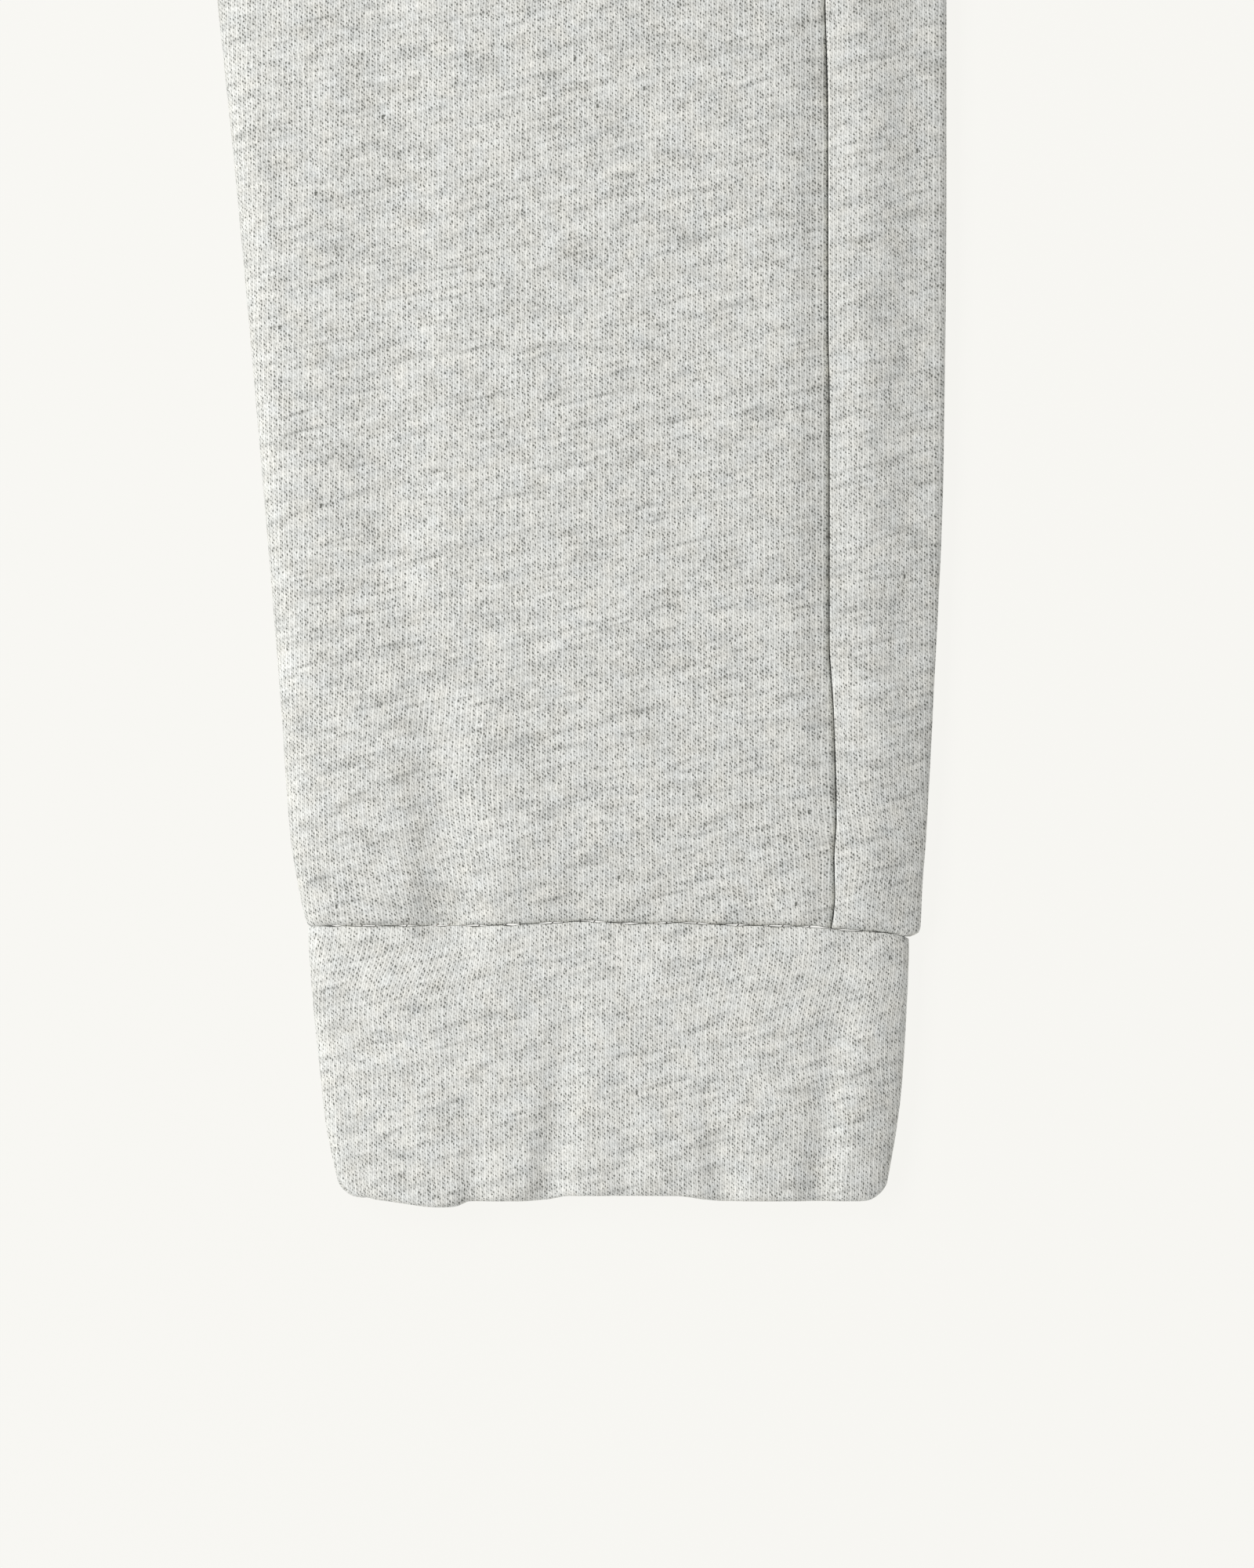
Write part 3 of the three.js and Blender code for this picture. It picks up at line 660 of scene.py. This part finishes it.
def cuff_ring(name, side):
    """A cuff: a ring of cloth folded double at the hem, gathered by its elastic."""
    depth = CUFF_SEAM - HEM_CORNER
    faces, cloth = [], []
    for share in ring_rows(depth, CUFF_ROWS):
        up = CUFF_SEAM + (HEM_CORNER - CUFF_SEAM) * share
        low, high, loft = (along(CUFF, column, up) for column in ("inner", "outer", "loft"))
        path = ring_path(low, high, CUFF_FOLD, loft, CUFF_WALL)
        points, at, total = resample(path, around_ring(*CUFF_LINES))
        x, relief = points[:, 0], points[:, 4]
        top = along(SEAM_LINE, "up", x)
        y = top + (hem_line(x, low, high) + EDGE_ROUND - top) * share
        below = share * depth
        sunk = creases(LEG_CREASES, side, x, y) * (1 - ease(below / SINK_REACH))
        uneven = CUFF_UNEVENNESS * waves(x, CUFF_SEED + side, CUFF_WAVE) * ease(below / CUFF_EVEN)
        drop = relief * (creases(CUFF_CREASES, side, x, y) + sunk + uneven)
        drop = drop + end_roll(below, CUFF_END, relief)
        drop = kept_apart(drop, relief, loft, CUFF_WALL, CUFF_END[0])
        y = y - slit(x) / 2 * max(0, 1 - below)
        faces.append(both_faces(points, y, drop, CUFF_WALL))
        start = (low + high) / 2 - total / 4 - (high - low) / 2
        across = np.append(start + at, start + total) - np.append(lean(x, y), 0)
        cloth.append(np.array([side * across, np.append(y, y[0])]).T * CUFF_TIGHTNESS)
    return ring_mesh(name, faces, cloth, side, -1)


def band_wave(shape, on_band, share, growth=1):
    """One of the waistband's waves, at places along it and at a share of its height."""
    strength, drift, seed, length = shape
    return strength * growth * waves(on_band + drift * share, seed, length)


def waist_ring(name):
    """The waistband: a ring folded over elastic, with a gather at each stretch of it."""
    depth = LENGTH - EDGE_ROUND - WAIST_SEAM
    faces, cloth = [], []
    for share in ring_rows(depth, BAND_ROWS):
        half = WAIST_HALF + WAIST_FLARE * (1 - share)
        path = ring_path(-half, half, BAND_FOLD, BAND_LOFT, BAND_WALL)
        points, at, total = resample(path, around_ring(*BAND_LINES))
        x, relief = points[:, 0], points[:, 4]
        below, place = share * depth, x / half
        on_band = place * BAND_MEASURE
        bend = band_wave(BAND_BEND, on_band, share) + band_wave(BAND_RIPPLE, on_band, share)
        main = 0.5 - 0.5 * np.cos(np.pi * WAIST_GATHERS * place + bend)
        unlike = 0.8 + band_wave(BAND_UNLIKE, on_band, share)
        small = 0.5 + band_wave(BAND_SMALL, on_band, share)
        swell = 0.75 + 0.25 * np.cos(2 * np.pi * share)
        depths = GATHER_DEPTH * main * unlike + SMALL_DEPTH * small * swell
        drop = relief * depths + roll(below, *BAND_END)
        drop = kept_apart(drop, relief, BAND_LOFT, BAND_WALL, BAND_END[0])
        y = WAIST_SEAM + below + band_wave(BAND_EDGE, on_band, share, share) * relief
        y = y + slit(x) / 2 * max(0, 1 - below)
        faces.append(both_faces(points, y, drop, BAND_WALL))
        across = np.append(at, total) - total / 2
        cloth.append(np.array([across, np.append(y, y[0])]).T)
    return ring_mesh(name, faces, cloth, -1, 1)


def stitch_places(draw):
    """Where the stitches lie in the side seam and the cuff seam, and half their length across and up."""
    stitches = []
    for up in np.arange(CUFF_SEAM + SIDE_ENDS[0], WAIST_SEAM - SIDE_ENDS[1], STITCH_PITCH):
        up += draw.uniform(-STITCH_SHIFT, STITCH_SHIFT)
        stitches.append((leg_section(up)["seam"] + SEAM_SHIFT, up, STITCH_ACROSS, STITCH_ALONG))
    first = along(LEG, "inner", CUFF_SEAM) + CUFF_ENDS[0]
    last = along(LEG, "seam", CUFF_SEAM) - CUFF_ENDS[1]
    for x in np.arange(first, last, STITCH_PITCH):
        x += draw.uniform(-STITCH_SHIFT, STITCH_SHIFT)
        stitches.append((x, along(SEAM_LINE, "up", x), STITCH_ALONG, STITCH_ACROSS))
    return stitches


def stitch_points(middle, reach):
    """Three rings of points round a stitch, the outer ones lower."""
    upward = np.array([0, 0, 1])
    across = np.cross(reach, upward) / np.hypot(*reach[:2])
    turns = np.radians(np.arange(0, 360, 360 // THREAD_SIDES))
    points = []
    for end in (-1, 0, 1):
        centre = middle + end * reach - STITCH_DIVE * end * end * upward
        for turn in turns:
            points.append(centre + THREAD_RADIUS * (np.cos(turn) * across + np.sin(turn) * upward))
    return points


def seam_threads(name, side):
    """The stitches that join the edges of the side seam and of the cuff seam, glimpsed in the grooves."""
    panel = bpy.data.objects[f"front_panel_{name}"]
    places = np.array([vertex.co for vertex in panel.data.vertices]) / MM
    places[:, 0] *= side
    places[:, 1] -= HEM_LEVEL
    places = places[places[:, 2] > 2 * CLOTH]
    draw = np.random.default_rng(STITCH_SEED + side)
    points, faces = [], []
    for x, up, wide, tall in stitch_places(draw):
        near = places[np.hypot(places[:, 0] - x, places[:, 1] - up) < THREAD_NEAR]
        if len(near) == 0:
            continue
        middle = np.array([x, up, near[:, 2].min() + THREAD_RISE])
        start, n = len(points), THREAD_SIDES
        points += stitch_points(middle, np.array([wide, tall, 0]) * draw.uniform(*STITCH_SIZES))
        for ring in (start, start + n):
            corners = [(ring + k, ring + (k + 1) % n) for k in range(n)]
            faces += [(a, b, b + n, a + n) for a, b in corners]
        faces += [tuple(range(start + n - 1, start - 1, -1)), tuple(range(start + 2 * n, start + 3 * n))]
    return new_piece(f"seam_thread_{name}", points, faces, side)


# Materials


def add(tree, kind, inputs=(), **settings):
    """A node with its settings made and its inputs linked or filled in."""
    node = tree.nodes.new(kind)
    for key, value in settings.items():
        setattr(node, key, value)
    for key, value in dict(inputs).items():
        if isinstance(value, bpy.types.NodeSocket):
            tree.links.new(value, node.inputs[key])
        else:
            node.inputs[key].default_value = value
    return node


def maths(tree, operation, *values):
    """What a Math node makes of some values."""
    node = add(tree, "ShaderNodeMath", enumerate(values), operation=operation)
    return node.outputs[0]


def scaled(tree, value, factor, offset=0.0):
    """A value times a factor, plus an offset."""
    return maths(tree, "MULTIPLY_ADD", value, factor, offset)


def noise(tree, place, scale, detail, roughness=0.5):
    """A node of soft noise at a place."""
    return add(tree, "ShaderNodeTexNoise", {
        "Vector": place, "Scale": scale, "Detail": detail, "Roughness": roughness,
    })


def divided(tree, place, across, up):
    """A place with its two coordinates divided by two sizes."""
    return add(tree, "ShaderNodeCombineXYZ", {
        "X": maths(tree, "DIVIDE", place.outputs["X"], across),
        "Y": maths(tree, "DIVIDE", place.outputs["Y"], up),
    }).outputs[0]


def new_group(name, inputs, outputs):
    """An empty node group with named sockets, its input node and its output node. An input is a number
    with its usual value, or a vector where that is None."""
    tree = bpy.data.node_groups.new(name, "ShaderNodeTree")
    for label, value in inputs.items():
        kind = "NodeSocketVector" if value is None else "NodeSocketFloat"
        socket = tree.interface.new_socket(name=label, in_out="INPUT", socket_type=kind)
        if value is not None:
            socket.default_value = value
    for label in outputs:
        tree.interface.new_socket(name=label, in_out="OUTPUT", socket_type="NodeSocketFloat")
    return tree, tree.nodes.new("NodeGroupInput"), tree.nodes.new("NodeGroupOutput")


def hand_out(tree, result, made):
    """A group with what it made linked to its outputs."""
    for name, value in made.items():
        tree.links.new(value, result.inputs[name])
    return tree


def bell(tree, value, centre, sharpness):
    """The exponent of a bell that comes back once in every unit of a value."""
    turn = scaled(tree, value, 2 * np.pi, -2 * np.pi * centre)
    return scaled(tree, maths(tree, "COSINE", turn), sharpness, -sharpness)


def stitches_group():
    """The face of a jersey knit. Each column has an upright leg that runs on from loop to loop, and beside
    it slanted legs with dips above and below them. They give the bump, and the material paints a
    highlight on the legs and shade in the dips."""
    tree, given, result = new_group(
        "Jersey Stitches",
        {
            "Cloth": None, "Column Pitch": 0.00086, "Row Pitch": 0.00070, "Row Slant": 0.19,
            "Unevenness": 0.15, "Clean Share": 0.9998,
        },
        ["Height", "Legs", "Stitch Tone", "Dip", "Fleck", "Strands"],
    )
    place = add(tree, "ShaderNodeSeparateXYZ", {0: given.outputs["Cloth"]})
    slanted = maths(tree, "MULTIPLY", place.outputs["X"], given.outputs["Row Slant"])
    slanted = maths(tree, "SUBTRACT", place.outputs["Y"], slanted)
    u = maths(tree, "DIVIDE", place.outputs["X"], given.outputs["Column Pitch"])
    v = maths(tree, "DIVIDE", slanted, given.outputs["Row Pitch"])
    knit = add(tree, "ShaderNodeCombineXYZ", {"X": u, "Y": v}).outputs[0]
    wobble = noise(tree, knit, 0.62, 1.0)
    parted = add(tree, "ShaderNodeSeparateColor", {0: wobble.outputs["Color"]})
    reach = maths(tree, "MULTIPLY", given.outputs["Unevenness"], 4.0)
    u = maths(tree, "MULTIPLY_ADD", maths(tree, "SUBTRACT", parted.outputs["Red"], 0.5), reach, u)
    v = maths(tree, "MULTIPLY_ADD", maths(tree, "SUBTRACT", parted.outputs["Green"], 0.5), reach, v)
    line = maths(tree, "EXPONENT", bell(tree, u, *UPRIGHT_LEG))
    spots = []
    for across, up, slant, narrow, low in (SLANTED_LEG, *DIPS):
        turn = scaled(tree, v, 2 * np.pi, -2 * np.pi * up)
        leaning = maths(tree, "MULTIPLY_ADD", maths(tree, "SINE", turn), slant / (2 * np.pi), u)
        spot = maths(tree, "ADD", bell(tree, leaning, across, narrow), bell(tree, v, up, low))
        spots.append(maths(tree, "EXPONENT", spot))
    legs = maths(tree, "ADD", line, spots[0])
    dip = maths(tree, "ADD", *spots[1:])
    height = maths(tree, "MULTIPLY_ADD", dip, -0.5, scaled(tree, legs, 0.45, 0.5))
    cell = add(tree, "ShaderNodeCombineXYZ", {
        "X": maths(tree, "FLOOR", scaled(tree, u, 2.0, 0.55)), "Y": maths(tree, "FLOOR", v),
    })
    draw = add(tree, "ShaderNodeTexWhiteNoise", {"Vector": cell.outputs[0]}, noise_dimensions="2D")
    drawn = add(tree, "ShaderNodeSeparateColor", {0: draw.outputs["Color"]})
    depth = scaled(tree, maths(tree, "POWER", drawn.outputs["Green"], 3.0), 2.6, 0.35)
    strand = add(tree, "ShaderNodeVectorMath", {0: knit, 1: STRAND_SCALE}, operation="MULTIPLY")
    return hand_out(tree, result, {
        "Height": height,
        "Legs": legs,
        "Stitch Tone": drawn.outputs["Red"],
        "Dip": maths(tree, "MULTIPLY", dip, depth),
        "Fleck": maths(tree, "GREATER_THAN", drawn.outputs["Blue"], given.outputs["Clean Share"]),
        "Strands": noise(tree, strand.outputs[0], 1.0, 1.0).outputs[0],
    })


def darker_tail(tree, value):
    """A value round a half with its low end drawn out and its high end pressed together."""
    return scaled(tree, maths(tree, "POWER", scaled(tree, value, -1.0, 1.0), 3.0), -4 / 3, 2 / 3)


def heather_group():
    """The drift of light and dark fibres: streaks that rise to the right, in softer patches."""
    tree, given, result = new_group(
        "Heather",
        {
            "Cloth": None, "Streak Angle": np.radians(13), "Streak Length": 0.0092,
            "Streak Width": 0.0022, "Patch Size": 0.011,
        },
        ["Streaks", "Fine Streaks", "Dark Fibres", "Patches", "Warmth"],
    )
    turned = add(tree, "ShaderNodeVectorRotate", {
        "Vector": given.outputs["Cloth"],
        "Angle": maths(tree, "MULTIPLY", given.outputs["Streak Angle"], -1.0),
    }, rotation_type="Z_AXIS")
    place = add(tree, "ShaderNodeSeparateXYZ", {0: turned.outputs[0]})
    streak = divided(tree, place, given.outputs["Streak Length"], given.outputs["Streak Width"])
    patch = divided(tree, place, given.outputs["Patch Size"], given.outputs["Patch Size"])
    fibre, fine = (
        add(tree, "ShaderNodeVectorMath", {0: streak, 1: scale, 2: start}, operation="MULTIPLY_ADD")
        for scale, start in ((FIBRE_SCALE, FIBRE_START), (FINE_SCALE, FINE_START))
    )
    fibres = scaled(tree, noise(tree, fibre.outputs[0], 1.0, 2.0).outputs[0], *FIBRE_SPREAD)
    fibres = maths(tree, "MAXIMUM", fibres, 0.0)
    warmth = noise(tree, patch, 3.1, 2.0)
    parted = add(tree, "ShaderNodeSeparateColor", {0: warmth.outputs["Color"]})
    return hand_out(tree, result, {
        "Streaks": darker_tail(tree, noise(tree, streak, 1.0, 3.0, 0.62).outputs[0]),
        "Fine Streaks": darker_tail(tree, noise(tree, fine.outputs[0], 1.0, 1.5, 0.6).outputs[0]),
        "Dark Fibres": maths(tree, "POWER", fibres, FIBRE_POWER),
        "Patches": noise(tree, patch, 1.0, 1.0).outputs[0],
        "Warmth": parted.outputs["Blue"],
    })


def group(name, maker):
    """A node group, made once."""
    return bpy.data.node_groups.get(name) or maker()


def mixed(tree, factor, first, second, **settings):
    """The colour between two colours, which are a Mix node's sockets 6 and 7."""
    inputs = {"Factor": factor, 6: first, 7: second}
    return add(tree, "ShaderNodeMix", inputs, data_type="RGBA", **settings).outputs[2]


def new_material(name, roughness):
    """A material, its node tree and its shader."""
    material = bpy.data.materials.new(name)
    material.use_nodes = True
    shader = material.node_tree.nodes["Principled BSDF"]
    shader.inputs["Roughness"].default_value = roughness
    return material, material.node_tree, shader


def fleece_material(name, lift):
    """Light heather grey fleece with a jersey face, a painted highlight on its loops and painted shade
    between them, and its tone lifted a little by the lift it is given.
    """
    if name in bpy.data.materials:
        return bpy.data.materials[name]
    settings = bpy.context.scene.joggers
    material, tree, shader = new_material(name, 0.95)
    cloth = add(tree, "ShaderNodeUVMap", uv_map=CLOTH_MAP).outputs[0]
    knit = add(tree, "ShaderNodeGroup", node_tree=group("Jersey Stitches", stitches_group))
    tree.links.new(cloth, knit.inputs["Cloth"])
    knit.inputs["Column Pitch"].default_value = settings.column_pitch
    knit.inputs["Row Pitch"].default_value = settings.row_pitch
    heather = add(tree, "ShaderNodeGroup", node_tree=group("Heather", heather_group))
    tree.links.new(cloth, heather.inputs["Cloth"])
    tone = scaled(tree, heather.outputs["Streaks"], settings.streaks, 0.5 - 0.5 * settings.streaks)
    tone = maths(tree, "ADD", tone, lift)
    for node, output, strength, mean in (
        (heather, "Patches", settings.patches, 0.5),
        (heather, "Fine Streaks", settings.fine_streaks, 0.5),
        (heather, "Dark Fibres", -settings.dark_fibres, 0),
        (knit, "Stitch Tone", settings.stitch_tone, 0.5),
        (knit, "Strands", settings.strands, 0.5),
        # The loops' legs are painted paler: a painted highlight where the light from the left catches them
        (knit, "Legs", settings.painted_ridge_highlight, MEAN_LEGS),
    ):
        tone = maths(tree, "ADD", tone, scaled(tree, node.outputs[output], strength, -mean * strength))
    # Painted shade in the dips between the loops, stronger where the cloth round them is darker, and deeper
    # at some stitches than at others
    depth = scaled(tree, tone, *(value * settings.painted_dip_shade for value in DIP_BY_TONE))
    shade = maths(tree, "MULTIPLY", scaled(tree, knit.outputs["Dip"], 1.0, -MEAN_DIP), depth)
    tone = maths(tree, "SUBTRACT", tone, shade)
    tone = maths(tree, "SUBTRACT", tone, scaled(tree, knit.outputs["Fleck"], settings.fleck_shade))
    tone = add(tree, "ShaderNodeClamp", {"Value": tone, "Min": DARKEST_TONE}).outputs[0]
    yarn = mixed(tree, tone, (*settings.dark_yarn, 1), (*settings.light_yarn, 1), clamp_factor=False)
    warmth = scaled(tree, heather.outputs["Warmth"], *WARMTH_SPREAD)
    tinted = mixed(tree, 1.0, yarn, mixed(tree, warmth, COOL_TINT, WARM_TINT), blend_type="MULTIPLY")
    tree.links.new(tinted, shader.inputs["Base Color"])
    bump = add(tree, "ShaderNodeBump", {
        "Height": knit.outputs["Height"], "Strength": 0.6, "Distance": settings.stitch_depth,
    })
    tree.links.new(bump.outputs[0], shader.inputs["Normal"])
    shader.inputs["Specular IOR Level"].default_value = 0.15
    shader.inputs["Sheen Weight"].default_value = 0.15
    shader.inputs["Sheen Roughness"].default_value = 0.5
    return material


def thread_material():
    """Spun sewing thread, a shade darker than the cloth, with its twist."""
    name = "Sewing thread"
    if name in bpy.data.materials:
        return bpy.data.materials[name]
    material, tree, shader = new_material(name, 0.8)
    place = add(tree, "ShaderNodeTexCoord").outputs["Object"]
    twist = add(tree, "ShaderNodeTexWave", {"Vector": place, "Scale": 900.0, "Distortion": 2.0}).outputs[1]
    shades = mixed(tree, twist, DARK_THREAD, LIGHT_THREAD)
    tree.links.new(shades, shader.inputs["Base Color"])
    bump = add(tree, "ShaderNodeBump", {"Height": twist, "Strength": 0.5, "Distance": 0.03 * MM})
    tree.links.new(bump.outputs[0], shader.inputs["Normal"])
    return material


def dress(piece, node, cloth=("Heather fleece", 0.0)):
    """Gives a piece its cloth, attaches it to the root body and hides the part that it replaces."""
    piece.data.materials.append(fleece_material(*cloth))
    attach(piece, "root")
    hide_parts(node)


class JoggersSettings(PropertyGroup):
    """Sizes and colours of the cloth and the studio"""

    column_pitch: FloatProperty(
        name="Column pitch", description="Distance between the knit's columns of loops",
        default=0.858 * MM, unit="LENGTH", precision=6,
    )
    row_pitch: FloatProperty(
        name="Row pitch", description="Distance between the knit's rows of loops",
        default=0.702 * MM, unit="LENGTH", precision=6,
    )
    stitch_depth: FloatProperty(
        name="Stitch depth", description="How far the loops stand over the dips between them",
        default=0.12 * MM, unit="LENGTH", precision=6,
    )
    light_yarn: FloatVectorProperty(
        name="Light yarn", description="Colour of the palest fibres",
        default=(0.972, 0.975, 0.934), subtype="COLOR", min=0, max=1,
    )
    dark_yarn: FloatVectorProperty(
        name="Dark yarn", description="Colour of the darkest fibres",
        default=(0.365, 0.368, 0.347), subtype="COLOR", min=0, max=1,
    )
    streaks: FloatProperty(
        name="Streaks", description="How strongly light and dark fibres gather in streaks",
        default=0.80, subtype="FACTOR", max=3,
    )
    cuff_lift: FloatProperty(
        name="Cuff lift", description="How much paler the cuffs' cloth is",
        default=0.045, subtype="FACTOR", max=1,
    )
    fine_streaks: FloatProperty(
        name="Fine streaks", description="How strongly single strands of light and dark fibre show",
        default=0.62, subtype="FACTOR", max=3,
    )
    dark_fibres: FloatProperty(
        name="Dark fibres", description="How dark the thin streaks of dark fibre are",
        default=0.40, subtype="FACTOR", max=3,
    )
    patches: FloatProperty(
        name="Patches", description="How strongly light and dark fibres gather in soft patches",
        default=0.2, subtype="FACTOR", max=3,
    )
    # Painted highlight on the legs of the loops
    painted_ridge_highlight: FloatProperty(
        name="Painted ridge highlight", description="How much paler the legs of the loops are",
        default=0.36, subtype="FACTOR", max=3,
    )
    stitch_tone: FloatProperty(
        name="Stitch tone", description="How much one loop differs from the next",
        default=0.26, subtype="FACTOR", max=3,
    )
    strands: FloatProperty(
        name="Strands", description="How much the fine fibres in each loop differ",
        default=0.45, subtype="FACTOR", max=3,
    )
    # Painted shade in the dips between the loops
    painted_dip_shade: FloatProperty(
        name="Painted dip shade", description="How much darker the dips between the loops are",
        default=0.92, subtype="FACTOR", max=3,
    )
    fleck_shade: FloatProperty(
        name="Fleck shade", description="How dark the few flecks of dark fibre are",
        default=0.9, subtype="FACTOR", max=3,
    )
    floor_colour: FloatVectorProperty(
        name="Floor", description="Colour of the floor and of the space round it",
        default=(0.930, 0.922, 0.888), subtype="COLOR", min=0, max=1,
    )
    ambient: FloatProperty(
        name="Ambient light", description="Strength of the light from all round",
        default=0.45, min=0,
    )
    key_power: FloatProperty(
        name="Key light", description="Power of the soft light from the left",
        default=7.6, unit="POWER", min=0,
    )


class JOGGERS_OT_stage(Operator):
    """Camera, soft studio light and pale floor"""

    bl_idname = "joggers.stage"
    bl_label = "Camera, light and floor"

    def execute(self, context):
        settings = context.scene.joggers
        centre = np.array([VIEW_CENTRE[0], VIEW_CENTRE[1] + HEM_LEVEL]) * MM
        camera = bpy.data.objects.new("camera", bpy.data.cameras.new("camera"))
        camera.data.lens = LENS
        camera.data.sensor_width = SENSOR
        distance = VIEW_HEIGHT * LENS / SENSOR + MIDDLE_OF_CLOTH
        camera.location = (centre[0], centre[1], distance * MM)
        context.scene.collection.objects.link(camera)
        context.scene.camera = camera
        context.scene.view_settings.view_transform = "Standard"

        key = bpy.data.lights.new("key", "AREA")
        key.shape = "RECTANGLE"
        key.size, key.size_y = KEY_SIZE
        key.energy = settings.key_power
        lamp = bpy.data.objects.new("key", key)
        lamp.location = np.array([*centre, 0]) + KEY_OFFSET
        lamp.rotation_euler = (0, np.arctan2(KEY_OFFSET[0], KEY_OFFSET[2]), 0)
        context.scene.collection.objects.link(lamp)

        world = bpy.data.worlds.new("studio")
        context.scene.world = world
        world.use_nodes = True
        tree = world.node_tree
        light = tree.nodes["Background"]
        light.inputs["Color"].default_value = (1, 1, 1, 1)
        light.inputs["Strength"].default_value = settings.ambient
        seen = add(tree, "ShaderNodeBackground", {"Color": (*settings.floor_colour, 1)})
        rays = add(tree, "ShaderNodeLightPath")
        both = add(tree, "ShaderNodeMixShader", {
            0: rays.outputs["Is Camera Ray"], 1: light.outputs[0], 2: seen.outputs[0],
        })
        tree.links.new(both.outputs[0], tree.nodes["World Output"].inputs["Surface"])

        mesh = bpy.data.meshes.new("floor")
        corners = [(x * FLOOR_HALF, y * FLOOR_HALF, 0) for x, y in ((-1, -1), (1, -1), (1, 1), (-1, 1))]
        mesh.from_pydata(corners, [], [(0, 1, 2, 3)])
        floor = bpy.data.objects.new("floor", mesh)
        floor.location.z = -FLOOR_DROP
        material, _, shader = new_material("Pale floor", 1.0)
        shader.inputs["Base Color"].default_value = FLOOR_BASE
        shader.inputs["Emission Color"].default_value = (*settings.floor_colour, 1)
        shader.inputs["Emission Strength"].default_value = FLOOR_GLOW
        shader.inputs["Specular IOR Level"].default_value = 0.0
        mesh.materials.append(material)
        context.scene.collection.objects.link(floor)
        return {"FINISHED"}


class JOGGERS_OT_fronts(Operator):
    """The two front leg panels"""

    bl_idname = "joggers.fronts"
    bl_label = "Fronts"

    def execute(self, context):
        for name, side in SIDES:
            panel = leg_panel(f"front_panel_{name}", front_path, side)
            dress(panel, f"front_{name}")
        return {"FINISHED"}


class JOGGERS_OT_backs(Operator):
    """The two back leg panels, which wrap forward round the outer fold"""

    bl_idname = "joggers.backs"
    bl_label = "Backs"

    def execute(self, context):
        for name, side in SIDES:
            panel = leg_panel(f"back_panel_{name}", back_path, side)
            dress(panel, f"back_{name}")
        return {"FINISHED"}


class JOGGERS_OT_cuffs(Operator):
    """The two cuffs"""

    bl_idname = "joggers.cuffs"
    bl_label = "Cuffs"

    def execute(self, context):
        for name, side in SIDES:
            cuff = cuff_ring(f"cuff_cloth_{name}", side)
            cloth = ("Heather fleece cuffs", context.scene.joggers.cuff_lift)
            dress(cuff, f"cuff_{name}", cloth)
        return {"FINISHED"}


class JOGGERS_OT_threads(Operator):
    """The sewing thread of the side and cuff seams"""

    bl_idname = "joggers.threads"
    bl_label = "Threads"

    def execute(self, context):
        for name, side in SIDES:
            thread = seam_threads(name, side)
            thread.data.materials.append(thread_material())
            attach(thread, "root")
        return {"FINISHED"}


class JOGGERS_OT_waistband(Operator):
    """The elastic waistband"""

    bl_idname = "joggers.waistband"
    bl_label = "Waistband"

    def execute(self, context):
        dress(waist_ring("waistband_cloth"), "waistband")
        return {"FINISHED"}


class VIEW3D_PT_joggers(Panel):
    """Buttons for each group of pieces"""

    bl_label = "Joggers"
    bl_space_type = "VIEW_3D"
    bl_region_type = "UI"
    bl_category = "Joggers"

    def draw(self, context):
        for step in STEPS:
            self.layout.operator(step.bl_idname)
        for name in JoggersSettings.__annotations__:
            self.layout.prop(context.scene.joggers, name)


STEPS = (
    JOGGERS_OT_stage,
    JOGGERS_OT_backs,
    JOGGERS_OT_fronts,
    JOGGERS_OT_cuffs,
    JOGGERS_OT_waistband,
    JOGGERS_OT_threads,
)
CLASSES = (JoggersSettings, *STEPS, VIEW3D_PT_joggers)


def register():
    for one in CLASSES:
        bpy.utils.register_class(one)
    bpy.types.Scene.joggers = PointerProperty(type=JoggersSettings)


def unregister():
    del bpy.types.Scene.joggers
    for one in reversed(CLASSES):
        bpy.utils.unregister_class(one)


def main():
    register()
    bpy.ops.joggers.stage()
    bpy.ops.joggers.backs()
    bpy.ops.joggers.fronts()
    bpy.ops.joggers.cuffs()
    bpy.ops.joggers.waistband()
    bpy.ops.joggers.threads()
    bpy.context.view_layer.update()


if __name__ == "__main__":
    main()
